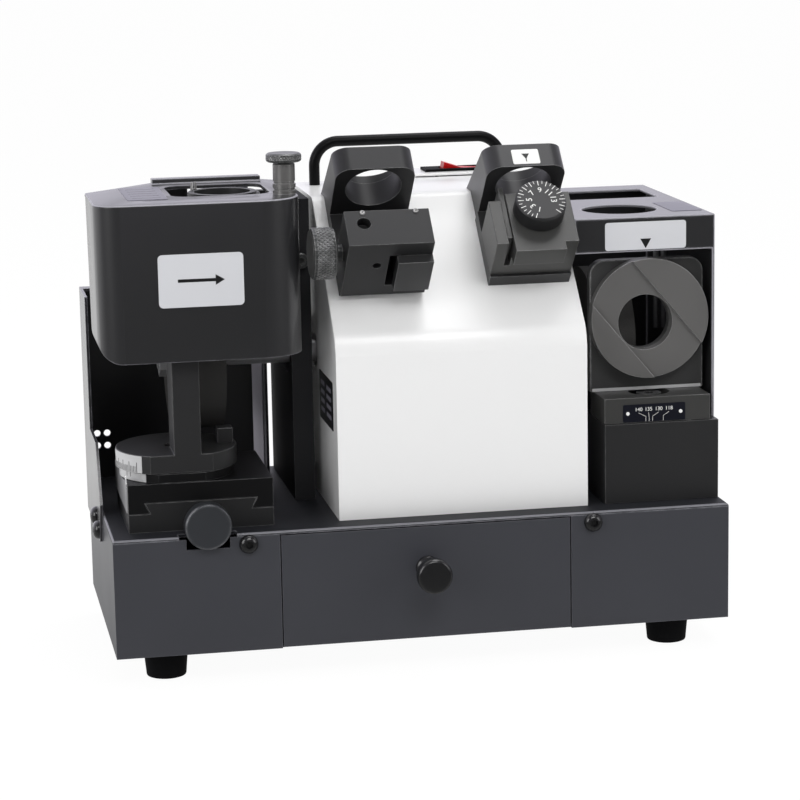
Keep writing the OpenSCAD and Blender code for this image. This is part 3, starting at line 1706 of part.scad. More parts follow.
module drill_swivel_block() {
    color(black_steel) placed() difference() {
        span([drill_x - block_w / 2, block_y, block_z], [drill_x + block_w / 2, block_y1, block_top]);
        bar_z(pivot_d + 2 * run_gap, block_z - over, block_top + over, drill_x, pivot_y);
        bar_z(recess_d, block_top - recess_t, block_top + over, drill_x, pivot_y);
    }
}

module drill_seat_plate() {
    color(black_steel) placed() difference() {
        translate([drill_x, 0, block_top + plate_h / 2]) prism_y(plate_y, plate_y1) {
            round_rect(plate_w, plate_h, plate_r);
            translate([-plate_w / 2, -plate_h / 2]) square([plate_w, plate_h / 2]);
        }
        bar_y(chuck_d, plate_y - over, plate_y1 + over, bore_x, bore_z);
    }
}

module drill_seat_disc() {
    y0 = plate_y - disc_t;
    color(grey_steel) placed() difference() {
        bar_y(disc_d, y0, plate_y, drill_x, seat_disc_z);
        bar_y(chuck_d, y0 - over, plate_y + over, bore_x, bore_z);
        translate([bore_x, y0, bore_z]) rotate([0, groove_angle, 0])
            cube([2 * disc_d, 2 * groove_t, groove_w], center = true);
    }
}

module drill_hood() {
    x0 = body_x1;
    in_top = hood_top - hood_sheet;
    color(black_coat) placed() difference() {
        union() {
            span([x0, hood_y, in_top], [hood_x1, hood_back + hood_over, hood_top]);
            span([x0 - hood_tongue, hood_y, in_top], [x0 + over, hood_y + hood_tongue_d, hood_top]);
            span([x0 - hood_tongue, hood_y, hood_top - hood_band],
                 [hood_x1, hood_y + hood_sheet, in_top]);
            span([hood_x1 - hood_sheet, hood_y, deck_z], [hood_x1, hood_back, in_top]);
            span([x0, hood_back - hood_sheet, deck_z], [hood_x1 - hood_sheet, hood_back, in_top]);
        }
        bar_z(hood_hole_d, in_top - over, hood_top + over, hood_hole_x, hood_hole_y);
        span([hood_slot_x - hood_slot_w / 2, hood_slot_y1 - hood_slot_d, in_top - over],
             [hood_slot_x + hood_slot_w / 2, hood_slot_y1, hood_top + over]);
    }
}

module wheel_dresser() {
    in_top = hood_top - hood_sheet;
    color(bright_steel) placed() translate([dresser_x, dresser_y, in_top]) {
        span([-dresser_w / 2, -dresser_t / 2, -dresser_h], [dresser_w / 2, dresser_t / 2, 0]);
        for (k = [-0.5, 0.5])
            bar_z(dresser_d, -dresser_h - dresser_len, -dresser_h, k * dresser_pitch, 0);
    }
}

base_deck();
base_tub();
base_front_panels();
rubber_feet();
foot_screws();
case_screws();
drawer_runners();
drawer_front();
drawer_tray();
drawer_knob();
body_shell();
body_left_side();
body_right_side();
carry_handle();
switch_box();
switch_bezel();
switch_rocker();
power_inlet();
motor_housing();
motor_end_bells();
motor_stator();
motor_rotor();
motor_cradle();
spindle_bearings();
spindle_shaft();
mill_wheel();
drill_wheel();
wheel_nuts();
dovetail_base();
dovetail_slide();
feed_screw();
feed_knob();
angle_scale();
swivel_bracket();
swivel_lock_nut();
mill_seat();
index_pin();
mill_cover();
plunger_bush();
plunger_pin();
cover_hinge_bar();
cover_hinge_pin();
support_post();
rear_guard();
left_ring();
left_stop_block();
left_slider();
left_knob();
right_ring();
right_stop_block();
right_stop();
right_dial();
fixture_bolts();
drill_pedestal();
drill_pivot_bolt();
drill_swivel_block();
drill_seat_plate();
drill_seat_disc();
drill_hood();
wheel_dresser();
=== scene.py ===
# %% [markdown]
# A grinder for end mills and drills stands on a pale floor, as in its photograph.
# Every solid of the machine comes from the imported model, already in its place, so this lesson
# only dresses it: edges are eased, finishes are painted on, and small fittings are added.

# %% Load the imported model
import json
import math
import bmesh
import bpy
from mathutils import Matrix, Vector


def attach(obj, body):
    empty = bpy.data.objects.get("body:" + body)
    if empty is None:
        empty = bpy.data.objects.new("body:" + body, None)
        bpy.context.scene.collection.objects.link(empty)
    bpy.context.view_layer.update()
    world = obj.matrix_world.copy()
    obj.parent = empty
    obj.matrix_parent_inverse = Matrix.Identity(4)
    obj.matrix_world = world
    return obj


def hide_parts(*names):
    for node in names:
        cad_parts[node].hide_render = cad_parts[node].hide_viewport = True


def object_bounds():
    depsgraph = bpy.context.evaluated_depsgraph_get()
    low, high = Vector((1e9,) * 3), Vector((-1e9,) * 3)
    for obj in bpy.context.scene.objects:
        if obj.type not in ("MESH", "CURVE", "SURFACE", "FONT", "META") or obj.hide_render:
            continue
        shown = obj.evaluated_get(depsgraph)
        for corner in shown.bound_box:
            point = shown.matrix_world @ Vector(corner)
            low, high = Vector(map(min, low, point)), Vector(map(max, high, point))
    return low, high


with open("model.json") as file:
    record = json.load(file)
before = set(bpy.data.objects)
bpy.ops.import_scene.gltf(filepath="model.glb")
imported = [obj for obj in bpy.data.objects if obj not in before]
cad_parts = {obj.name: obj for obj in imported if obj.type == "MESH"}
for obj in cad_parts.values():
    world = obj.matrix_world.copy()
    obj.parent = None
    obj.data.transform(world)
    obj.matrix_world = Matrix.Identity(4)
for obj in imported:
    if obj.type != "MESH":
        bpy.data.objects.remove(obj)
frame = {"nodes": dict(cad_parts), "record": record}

cad_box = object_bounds()
nodes = frame["nodes"]
MM = 0.001
print("packed nodes:", len(nodes))

# %% [markdown]
# The camera stands a little left of the machine, above its deck, with a long lens. It could be
# placed by eye, but the straight edges of the base give its turn, tilt and roll, here in degrees.

# %% Camera
CAMERA_PLACE = (-0.3546, -1.9343, 0.5602)
YAW, PITCH, ROLL = 10.568, 11.161, -1.043
SENSOR_WIDTH, FOCAL_LENGTH = 36, 122.81


def aim(yaw, pitch, roll):
    flat = math.cos(pitch)
    ahead = Vector((math.sin(yaw) * flat, math.cos(yaw) * flat, -math.sin(pitch)))
    right = Vector((math.cos(yaw), -math.sin(yaw), 0))
    up = right.cross(ahead)
    side = right * math.cos(roll) + up * math.sin(roll)
    over = up * math.cos(roll) - right * math.sin(roll)
    return Matrix((side, over, -ahead)).transposed()


bpy.ops.object.camera_add(location=CAMERA_PLACE)
camera = bpy.context.object
camera.name = "photo_camera"
camera.rotation_euler = aim(*(math.radians(turn) for turn in (YAW, PITCH, ROLL))).to_euler()
camera.data.sensor_width = SENSOR_WIDTH
camera.data.lens = FOCAL_LENGTH
bpy.context.scene.camera = camera
bpy.context.scene.view_settings.view_transform = "Standard"
print("camera at", tuple(round(v, 3) for v in camera.location))

# %% [markdown]
# Product photographs are lit by large soft boxes, because small lamps throw hard shadows. One hangs
# over the machine, one stands to the left and a weaker one to the right. The widest hangs high in
# front and lights the front faces at a slant, so dark paint stays dark there and turns grey where
# it faces up or to the left.

# %% Soft boxes
SOFT_BOXES = [
    # name, place and size in metres, power in watts
    ("top_box", (0.35, 0.2, 1.9), (1.1, 0.9), 13),
    ("left_box", (-1.7, -1.1, 0.9), (1.0, 1.2), 13),
    ("right_box", (1.7, -1.3, 0.8), (0.9, 1.1), 7),
    ("front_box", (0.2, -2.2, 2.3), (1.6, 0.9), 24),
]
middle = (cad_box[0] + cad_box[1]) / 2
for name, stand, size, power in SOFT_BOXES:
    bpy.ops.object.light_add(type="AREA", location=stand)
    lamp = bpy.context.object
    lamp.name = name
    lamp.data.shape = "RECTANGLE"
    lamp.data.size, lamp.data.size_y = size
    lamp.data.energy = power
    lamp.rotation_euler = (middle - Vector(stand)).to_track_quat("-Z", "Y").to_euler()
print("soft boxes:", len(SOFT_BOXES))

# %% [markdown]
# Shader trees repeat a few moves: a wire between two sockets, a fade from one level to another, a
# product of two values, and a choice between two. As functions they keep the later cells short.

# %% Shader moves
def wire(tree, start, end):
    tree.links.new(start, end)


def fade(tree, source, span, level):
    node = tree.nodes.new("ShaderNodeMapRange")
    for label, value in zip(("From Min", "From Max", "To Min", "To Max"), (*span, *level)):
        node.inputs[label].default_value = value
    wire(tree, source, node.inputs["Value"])
    return node.outputs["Result"]


def times(tree, first, second):
    node = tree.nodes.new("ShaderNodeMath")
    node.operation = "MULTIPLY"
    wire(tree, first, node.inputs[0])
    wire(tree, second, node.inputs[1])
    return node.outputs[0]


def choose(tree, switch, otherwise, when):
    node = tree.nodes.new("ShaderNodeMix")
    wire(tree, switch, node.inputs["Factor"])
    for socket, value in ((node.inputs["A"], otherwise), (node.inputs["B"], when)):
        if isinstance(value, float):
            socket.default_value = value
        else:
            wire(tree, value, socket)
    return node.outputs["Result"]


print("shader moves ready")

# %% [markdown]
# The world fills in the shadows, brighter above than below. Shiny faces see it as the studio was:
# a white sheet behind the machine, brightest on the left, and a dark room in front of it. The
# camera sees plain white. Each fade runs over a span of directions, from one level to another.

# %% World
FILL_SPAN, FILL_LEVEL = (-0.1, 0.75), (0.07, 0.54)
BACK_SPAN, BACK_LEVEL = (-0.4, 0.7), (0.12, 1.0)
LEFT_SPAN, LEFT_GAIN = (0.1, -0.5), (1.0, 1.6)
NEUTRAL, COOL = (1, 1, 1, 1), (0.91, 0.89, 1, 1)
PLAIN_WHITE = 1.0

world = bpy.data.worlds.new("pale_studio")
bpy.context.scene.world = world
world.use_nodes = True
tree = world.node_tree
backdrop = tree.nodes["Background"]
where = tree.nodes.new("ShaderNodeTexCoord")
axis = tree.nodes.new("ShaderNodeSeparateXYZ")
path = tree.nodes.new("ShaderNodeLightPath")
wire(tree, where.outputs["Generated"], axis.inputs[0])
fill = fade(tree, axis.outputs["Z"], FILL_SPAN, FILL_LEVEL)
behind = fade(tree, axis.outputs["Y"], BACK_SPAN, BACK_LEVEL)
mirrored = times(tree, behind, fade(tree, axis.outputs["X"], LEFT_SPAN, LEFT_GAIN))
level = choose(tree, path.outputs["Is Glossy Ray"], fill, mirrored)
for ray in ("Is Transmission Ray", "Is Camera Ray"):
    level = choose(tree, path.outputs[ray], level, PLAIN_WHITE)
wire(tree, level, backdrop.inputs["Strength"])
tint = tree.nodes.new("ShaderNodeMix")
tint.data_type = "RGBA"
tint.inputs["A"].default_value = NEUTRAL
tint.inputs["B"].default_value = COOL
wire(tree, path.outputs["Is Glossy Ray"], tint.inputs["Factor"])
wire(tree, tint.outputs["Result"], backdrop.inputs["Color"])
print("world:", world.name)

# %% [markdown]
# The floor is a wide pale sheet that runs out of the picture. To the camera it is almost white, and
# the part of it that still takes light keeps the soft shadow under the feet. Shiny faces see it
# bright behind the machine and dim in front.

# %% Floor
FLOOR_SIZE, FLOOR_DROP = 60, 0.0004
PAPER = {"Base Color": (0.9, 0.9, 0.9, 1), "Roughness": 0.9, "Specular IOR Level": 0.1}
PAPER_SPAN, PAPER_LEVEL = (-0.4, 0.6), (0.12, 0.9)
PAPER_GLOW = 1.03
GLOW_SHARES = {"Is Glossy Ray": 1.0, "Is Transmission Ray": 1.0, "Is Camera Ray": 0.93}

bpy.ops.object.select_all(action="DESELECT")
bpy.ops.mesh.primitive_plane_add(size=FLOOR_SIZE, location=(0, 0, -FLOOR_DROP))
floor = bpy.context.object
floor.name = "pale_floor"
paper = bpy.data.materials.new("pale_paper")
paper.use_nodes = True
tree = paper.node_tree
matt = tree.nodes["Principled BSDF"]
for label, value in PAPER.items():
    matt.inputs[label].default_value = value
glow = tree.nodes.new("ShaderNodeEmission")
path = tree.nodes.new("ShaderNodeLightPath")
where = tree.nodes.new("ShaderNodeTexCoord")
axis = tree.nodes.new("ShaderNodeSeparateXYZ")
blend = tree.nodes.new("ShaderNodeMixShader")
wire(tree, where.outputs["Object"], axis.inputs[0])
behind = fade(tree, axis.outputs["Y"], PAPER_SPAN, PAPER_LEVEL)
strength = choose(tree, path.outputs["Is Glossy Ray"], PAPER_GLOW, behind)
wire(tree, strength, glow.inputs["Strength"])
share = 0.0
for ray, value in GLOW_SHARES.items():
    share = choose(tree, path.outputs[ray], share, value)
for socket, source in zip(blend.inputs, (share, matt.outputs[0], glow.outputs[0])):
    wire(tree, source, socket)
wire(tree, blend.outputs[0], tree.nodes["Material Output"].inputs["Surface"])
floor.data.materials.append(paper)
print("floor:", floor.name)

# %% [markdown]
# Every finish on the machine shares a few effects, so each effect is a node group that is built
# once. The first is the grain of a sprayed coat: a fine noise for its orange-peel skin and a broad
# one for the slow change of tone over a panel.

# %% Group: coat grain
FLOAT, VECTOR = "NodeSocketFloat", "NodeSocketVector"
GRAIN_SCALE, SKIN_DETAIL = 900.0, 2
TONE_SCALE, TONE_DETAIL = 9, 3


def group(name, inputs, outputs):
    tree = bpy.data.node_groups.new(name, "ShaderNodeTree")
    for label, kind, value in inputs:
        socket = tree.interface.new_socket(name=label, in_out="INPUT", socket_type=kind)
        socket.default_value = value
    for label in outputs:
        tree.interface.new_socket(name=label, in_out="OUTPUT", socket_type=FLOAT)
    return tree, tree.nodes.new("NodeGroupInput"), tree.nodes.new("NodeGroupOutput")


def noise(tree, vector, detail):
    node = tree.nodes.new("ShaderNodeTexNoise")
    node.inputs["Detail"].default_value = detail
    wire(tree, vector, node.inputs["Vector"])
    return node


coat_grain, given, made = group("coat_grain", [("Scale", FLOAT, GRAIN_SCALE)], ["Skin", "Tone"])
where = coat_grain.nodes.new("ShaderNodeTexCoord")
skin = noise(coat_grain, where.outputs["Object"], SKIN_DETAIL)
tone = noise(coat_grain, where.outputs["Object"], TONE_DETAIL)
tone.inputs["Scale"].default_value = TONE_SCALE
wire(coat_grain, given.outputs["Scale"], skin.inputs["Scale"])
wire(coat_grain, skin.outputs["Fac"], made.inputs["Skin"])
wire(coat_grain, tone.outputs["Fac"], made.inputs["Tone"])
print("group:", coat_grain.name)

# %% [markdown]
# Corners lose their finish first, and they also catch the light. A Bevel node bends the normal
# close to an edge, so where the bent normal and the true one part, there is an edge. The pale colour
# laid there is partly scuffing and partly a painted highlight. A noise breaks that line up, because
# scuffing is never even.

# %% Group: scuffed and highlit edges
EDGE_WIDTH, EDGE_REACH = 0.0008, 0.5
BEND_SAMPLES = 4
CHIP_SCALE, CHIP_DETAIL = 160, 4
EDGE_SPAN, EDGE_LEVEL = (0.985, 0.8), (0, 1)
CHIP_SPAN, CHIP_LEVEL = (0.3, 0.7), (0.25, 1)

scuffed_and_highlit_edges, given, made = group(
    "scuffed_and_highlit_edges", [("Width", FLOAT, EDGE_WIDTH), ("Reach", FLOAT, EDGE_REACH)], ["Mask"])
bend = scuffed_and_highlit_edges.nodes.new("ShaderNodeBevel")
bend.samples = BEND_SAMPLES
flat = scuffed_and_highlit_edges.nodes.new("ShaderNodeNewGeometry")
part = scuffed_and_highlit_edges.nodes.new("ShaderNodeVectorMath")
part.operation = "DOT_PRODUCT"
where = scuffed_and_highlit_edges.nodes.new("ShaderNodeTexCoord")
chips = noise(scuffed_and_highlit_edges, where.outputs["Object"], CHIP_DETAIL)
chips.inputs["Scale"].default_value = CHIP_SCALE
wire(scuffed_and_highlit_edges, given.outputs["Width"], bend.inputs["Radius"])
wire(scuffed_and_highlit_edges, bend.outputs["Normal"], part.inputs[0])
wire(scuffed_and_highlit_edges, flat.outputs["Normal"], part.inputs[1])
mask = fade(scuffed_and_highlit_edges, part.outputs["Value"], EDGE_SPAN, EDGE_LEVEL)
mask = times(scuffed_and_highlit_edges, mask, fade(scuffed_and_highlit_edges, chips.outputs["Fac"], CHIP_SPAN, CHIP_LEVEL))
mask = times(scuffed_and_highlit_edges, mask, given.outputs["Reach"])
wire(scuffed_and_highlit_edges, mask, made.inputs["Mask"])
print("group:", scuffed_and_highlit_edges.name)

# %% [markdown]
# Milled and ground steel carries fine parallel lines. Noise that is stretched along one axis draws
# them, and the Stretch input says how much it is squeezed along each axis.

# %% Group: tool lines
LINE_SCALE, LINE_DETAIL = 1, 2
LINE_STRETCH = (40.0, 2500.0, 2500.0)

tool_lines, given, made = group("tool_lines", [("Stretch", VECTOR, LINE_STRETCH)], ["Line"])
where = tool_lines.nodes.new("ShaderNodeTexCoord")
squeeze = tool_lines.nodes.new("ShaderNodeVectorMath")
squeeze.operation = "MULTIPLY"
wire(tool_lines, where.outputs["Object"], squeeze.inputs[0])
wire(tool_lines, given.outputs["Stretch"], squeeze.inputs[1])
line = noise(tool_lines, squeeze.outputs[0], LINE_DETAIL)
line.inputs["Scale"].default_value = LINE_SCALE
wire(tool_lines, line.outputs["Fac"], made.inputs["Line"])
print("group:", tool_lines.name)

# %% [markdown]
# Each finish is one Principled shader fed by those groups. The colour changes slowly with the tone,
# the edges take a lighter colour, partly scuffing and partly a painted highlight, the roughness
# follows the tone, and the skin or the tool lines become a shallow bump. Colours are written as a
# screen shows them, so they are made linear.

# %% Finish builder
COAT_ROUGHNESS = 0.16
ROUGH_SWING = 0.06
BUMP_STRENGTH = 0.6


def put(tree, shared, **values):
    node = tree.nodes.new("ShaderNodeGroup")
    node.node_tree = shared
    for label, value in values.items():
        node.inputs[label].default_value = value
    return node


def linear(colour):
    levels = [value / 255 for value in colour]
    return [((v + 0.055) / 1.055) ** 2.4 if v > 0.04045 else v / 12.92 for v in levels]


def mix_colour(tree, start, end):
    node = tree.nodes.new("ShaderNodeMix")
    node.data_type = "RGBA"
    node.inputs["A"].default_value = (*start, 1)
    node.inputs["B"].default_value = (*end, 1)
    return node


def finish(name, colour, rough, metal=0.0, coat=0.0, grain=GRAIN_SCALE, bump=0.02, vary=0.12,
           scuff_and_highlight=None, width=EDGE_WIDTH, reach=EDGE_REACH, lines=None, gloss=0.5):
    material = bpy.data.materials.new(name)
    material.use_nodes = True
    tree = material.node_tree
    shader = tree.nodes["Principled BSDF"]
    shader.inputs["Metallic"].default_value = metal
    shader.inputs["Coat Weight"].default_value = coat
    shader.inputs["Coat Roughness"].default_value = COAT_ROUGHNESS
    shader.inputs["Specular IOR Level"].default_value = gloss
    base = linear(colour)
    skin = put(tree, coat_grain, Scale=grain)
    shade = mix_colour(tree, [v * (1 - vary) for v in base], [v * (1 + vary) for v in base])
    wire(tree, skin.outputs["Tone"], shade.inputs["Factor"])
    top = shade.outputs["Result"]
    # Edge colour: lighter for scuffing and, in part, a painted highlight.
    if scuff_and_highlight:
        edge_mask = put(tree, scuffed_and_highlit_edges, Width=width, Reach=reach)
        edge_colour_mix = mix_colour(tree, base, linear(scuff_and_highlight))
        wire(tree, edge_mask.outputs["Mask"], edge_colour_mix.inputs["Factor"])
        wire(tree, top, edge_colour_mix.inputs["A"])
        top = edge_colour_mix.outputs["Result"]
    wire(tree, top, shader.inputs["Base Color"])
    swing = fade(tree, skin.outputs["Tone"], (0, 1), (rough - ROUGH_SWING, rough + ROUGH_SWING))
    wire(tree, swing, shader.inputs["Roughness"])
    relief = tree.nodes.new("ShaderNodeBump")
    relief.inputs["Strength"].default_value = BUMP_STRENGTH
    relief.inputs["Distance"].default_value = bump * MM
    height = put(tree, tool_lines, Stretch=lines).outputs["Line"] if lines else skin.outputs["Skin"]
    wire(tree, height, relief.inputs["Height"])
    wire(tree, relief.outputs["Normal"], shader.inputs["Normal"])
    return material


print("finish builder ready")

# %% [markdown]
# The machine has few finishes: charcoal and black powder coat on the sheet metal, white enamel on
# the motor body, black oxide on the milled blocks, ground and bright steel, rubber and plastic.
# Each is a colour and a roughness, and then what sets it apart. The tool lines run as the cutter,
# the grinding wheel or the polishing cloth went.

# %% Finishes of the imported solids
MILLED = (60.0, 2200.0, 900.0)
GROUND = (1600.0, 900.0, 120.0)
POLISHED = (400.0, 400.0, 1800.0)
slots = {
    "charcoal_paint": finish("charcoal_coat", (58, 59, 65), 0.42, coat=0.2, scuff_and_highlight=(150, 150, 156)),
    "black_paint": finish("black_coat", (35, 35, 37), 0.38, coat=0.65,
                          scuff_and_highlight=(170, 168, 178), width=0.0014, reach=0.7),
    "white_paint": finish("white_enamel", (238, 238, 238), 0.35, coat=0.3, vary=0.012, grain=500.0),
    "black_oxide": finish("black_oxide_steel", (50, 50, 51), 0.38, metal=0.35, bump=0.012,
                          scuff_and_highlight=(190, 190, 190), reach=0.65, lines=MILLED),
    "ground_steel": finish("ground_steel", (122, 121, 120), 0.34, metal=0.5, bump=0.012,
                           scuff_and_highlight=(225, 225, 225), reach=0.8, lines=GROUND),
    "bright_steel": finish("bright_steel", (196, 196, 198), 0.28, metal=0.7, bump=0.008,
                           lines=POLISHED),
    "cast_iron": finish("cast_iron", (110, 112, 115), 0.6, metal=0.6, grain=260.0, bump=0.15),
    # Painted shade: the abrasive wheel is darker than its own grey, for the shade inside the guard.
    "wheel_alloy": finish("abrasive_wheel", (58, 57, 56), 0.9, grain=1500.0, bump=0.3, vary=0.25),
    "rubber": finish("foot_rubber", (11, 11, 13), 0.75, grain=700.0, bump=0.04, gloss=0.15),
    "black_plastic": finish("black_plastic", (22, 22, 23), 0.25, coat=0.5, grain=1200.0,
                            bump=0.004),
    "red_plastic": finish("red_plastic", (205, 14, 18), 0.3, bump=0.006, vary=0.05, gloss=0.2),
}


def paint(node, material):
    for holder in node.material_slots:
        holder.material = material


slot_of = {row["node"]: row["material_slot"] for row in frame["record"]["subparts"]}
for name, node in nodes.items():
    paint(node, slots[slot_of[name]])
print("finishes:", len(slots), "on", len(nodes), "nodes")

# %% [markdown]
# Printed labels and scale plates need a few finishes more: pale foil, lavender-grey foil, navy
# foil, two inks, a satin silver for scales, a pale lavender for a painted reflection, and strip
# steel. Foil and ink are thin and dull, so they get no lighter edges.

# %% Finishes of the plates
BRUSHED = (300.0, 300.0, 2400.0)
DRAWN = (900.0, 120.0, 1600.0)
pale_foil = finish("pale_foil", (204, 205, 209), 0.5, bump=0.004, vary=0.02)
grey_foil = finish("grey_foil", (120, 118, 130), 0.42, bump=0.004, vary=0.05)
navy_foil = finish("navy_foil", (13, 15, 28), 0.45, bump=0.004, vary=0.06, gloss=0.3)
black_ink = finish("black_ink", (16, 16, 17), 0.5, bump=0.003, vary=0.05)
white_ink = finish("white_ink", (232, 232, 230), 0.5, bump=0.003, vary=0.02)
satin_silver = finish("satin_silver", (212, 212, 213), 0.35, metal=0.3, bump=0.006, lines=BRUSHED)
# Painted reflection: a pale lavender that stands for the light the guard flange reflects.
painted_reflection = finish("painted_reflection", (242, 238, 250), 0.4, bump=0.006, vary=0.05)
strip_steel = finish("strip_steel", (158, 158, 160), 0.34, metal=0.4, bump=0.012, vary=0.3,
                     scuff_and_highlight=(235, 235, 235), reach=0.9, lines=DRAWN)
print("materials so far:", len(bpy.data.materials))

# %% [markdown]
# Some blackened parts have finishes of their own: the handle is lacquered, the dial and the post
# are dull, and the seat plate and the knobs are ground or turned last. Darker copies of black oxide
# are painted shade on the left fixture, the dovetail base and the mill slide, and a lighter copy is
# painted light on the right fixture and the drill block. The deck's darker paint is painted shade,
# and wide pale edges on the hood, seat plate, knobs and screws are painted highlights.

# %% Finishes of single parts
gloss_black = finish("gloss_black", (6, 6, 7), 0.42, bump=0.004, gloss=0.15)
dull_black = finish("dull_black", (34, 34, 35), 0.45, bump=0.01, scuff_and_highlight=(150, 150, 150))
post_black = finish("post_black", (44, 44, 46), 0.7, gloss=0.1, scuff_and_highlight=(120, 120, 124))
# Painted shade: a darker copy of black oxide for parts that lie in shade.
shaded_oxide = finish("shaded_oxide", (42, 42, 43), 0.42, metal=0.2, bump=0.012, gloss=0.3,
                    scuff_and_highlight=(190, 190, 190), reach=0.65, lines=MILLED)
# Painted shade: a near-black copy for the mill slide and its scale disc.
shaded_slide_black = finish("shaded_slide_black", (17, 17, 18), 0.42, bump=0.012, gloss=0.2,
                     scuff_and_highlight=(170, 170, 172), reach=0.6, lines=MILLED)
# Painted light: a lighter copy of black oxide for the right fixture and the drill block.
lit_oxide = finish("lit_oxide", (70, 70, 69), 0.36, metal=0.35, bump=0.012,
                    scuff_and_highlight=(200, 200, 200), reach=0.7, lines=MILLED)
# Its wide pale edges are partly scuffing, partly a painted highlight on knob and screw rims.
turned_steel = finish("turned_steel", (70, 71, 71), 0.32, metal=0.45, bump=0.006,
                      scuff_and_highlight=(215, 215, 215), width=0.0012, reach=0.9)
# Painted highlight: wide pale edges along the hood.
hood_black = finish("hood_black", (35, 35, 37), 0.38, coat=0.65,
                    scuff_and_highlight=(205, 203, 212), width=0.0026, reach=1.0)
# Painted shade: a darker copy of the charcoal paint for the deck.
shaded_deck_coat = finish("shaded_deck_coat", (36, 37, 41), 0.55, gloss=0.2,
                   scuff_and_highlight=(165, 165, 172), width=0.0014, reach=0.9)
# Painted highlights: pale colours for the middle of folds and the hood's bevels.
highlight_black = finish("highlight_black", (150, 149, 156), 0.4, vary=0.35)
highlight_charcoal = finish("highlight_charcoal", (112, 112, 118), 0.42, vary=0.25)
screw_black = finish("screw_black", (20, 20, 21), 0.24, coat=0.5, bump=0.004)
# Its wide pale rim is a painted highlight.
knob_steel = finish("knob_steel", (60, 62, 66), 0.36, metal=0.4, bump=0.006, vary=0.3,
                    scuff_and_highlight=(240, 240, 242), width=0.002, reach=1.0)
# Its wide pale edges are a painted highlight along the seat plate.
seat_steel = finish("seat_steel", (74, 74, 74), 0.36, metal=0.4, bump=0.012,
                    scuff_and_highlight=(225, 225, 225), width=0.002, reach=1.0, lines=GROUND)
special = {
    "carry_handle": gloss_black, "right_dial": dull_black, "support_post": post_black,
    "left_stop_block": shaded_oxide, "left_ring": shaded_oxide, "dovetail_base": shaded_oxide,
    "dovetail_slide": shaded_slide_black, "angle_scale": shaded_slide_black, "switch_bezel": slots["rubber"],
    "right_stop_block": lit_oxide, "right_stop": lit_oxide, "drill_swivel_block": lit_oxide,
    "drill_hood": hood_black, "feed_knob": knob_steel, "drill_seat_plate": seat_steel,
}
for name, material in special.items():
    paint(nodes[name], material)
print("nodes with a special finish:", len(special))

# %% [markdown]
# A modelled solid has knife-sharp edges, and a real one never does: a thin ease along each edge
# catches the light. The imported meshes are loose triangles, so a Weld joins them, a planar Decimate
# clears the flat faces, and a Bevel eases what is left. As modifiers they leave the imported mesh as
# it is. The hood's bevel faces get a pale finish, a painted highlight along its edges.

# %% Eased edges
JOIN_WITHIN = 0.00001
FLAT_ANGLE = math.radians(0.5)
EASE_ANGLE, EASE_STEPS = math.radians(35), 2
EASES = {
    # width in millimetres: nodes
    0.3: ["angle_scale"],
    0.4: ["base_front_panels", "right_stop", "right_dial"],
    0.5: ["rear_guard", "right_stop_block", "drill_swivel_block", "drill_seat_disc",
          "dovetail_base", "dovetail_slide", "support_post", "cover_hinge_bar"],
    0.6: ["base_tub", "drawer_front", "left_ring", "right_ring", "left_stop_block",
          "drill_pedestal", "drill_seat_plate", "swivel_bracket", "mill_seat", "switch_bezel",
          "switch_rocker", "power_inlet", "swivel_lock_nut", "feed_knob"],
    0.8: ["drill_hood", "switch_box"],
    0.9: ["left_slider"],
    1.0: ["rubber_feet"],
}


def ease(piece, width):
    weld = piece.modifiers.new("join_corners", "WELD")
    weld.merge_threshold = JOIN_WITHIN
    clear = piece.modifiers.new("clear_flats", "DECIMATE")
    clear.decimate_type = "DISSOLVE"
    clear.angle_limit = FLAT_ANGLE
    soften = piece.modifiers.new("ease_edges", "BEVEL")
    soften.width = width * MM
    soften.segments = EASE_STEPS
    soften.limit_method = "ANGLE"
    soften.angle_limit = EASE_ANGLE
    soften.use_clamp_overlap = True
    even = piece.modifiers.new("even_normals", "WEIGHTED_NORMAL")
    even.keep_sharp = True


for width, names in EASES.items():
    for name in names:
        ease(nodes[name], width)
# Painted highlight: the hood's bevel faces take the pale highlight finish.
hood = nodes["drill_hood"]
hood.data.materials.append(highlight_black)
hood.modifiers["ease_edges"].material = len(hood.data.materials) - 1
print("eased nodes:", sum(len(node.modifiers) > 0 for node in nodes.values()))

# %% [markdown]
# New pieces are placed as a fitter would measure them on the machine, in millimetres: right from
# the middle of the base, back from its front and up from its underside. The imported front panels
# tell where that is. The setting fixtures lie on the sloping front of the motor body, so they get a
# frame of their own that starts at the kink below the slope.

# %% Places on the machine
UPRIGHT = Matrix.Identity(4)
TO_FRONT = Matrix.Rotation(math.radians(90), 4, "X")
TO_LEFT = Matrix(((0, 0, -1, 0), (-1, 0, 0, 0), (0, 1, 0, 0), (0, 0, 0, 1)))
ON_SLOPE = Matrix.Rotation(math.radians(45), 4, "X")
KINK_HEIGHT = 210.4


def limits(name):
    spots = [nodes[name].matrix_world @ corner.co / MM for corner in nodes[name].data.vertices]
    return [Vector([far(s[way] for s in spots) for way in range(3)]) for far in (min, max)]


base_low, base_high = limits("base_front_panels")
BASE_SHIFT = Vector(((base_low.x + base_high.x) / 2, base_low.y, base_low.z))


def measured(name):
    return [corner - BASE_SHIFT for corner in limits(name)]


def facing(turn, right, back, up):
    return Matrix.Translation((Vector((right, back, up)) + BASE_SHIFT) * MM) @ turn


body_low, body_high = measured("body_shell")
slope_frame = facing(ON_SLOPE, right=0, back=body_low.y, up=KINK_HEIGHT)


def on_slope(right, along, out):
    return slope_frame @ Matrix.Translation(Vector((right, along, out)) * MM)


print("slope starts at", tuple(round(v, 4) for v in slope_frame.translation))

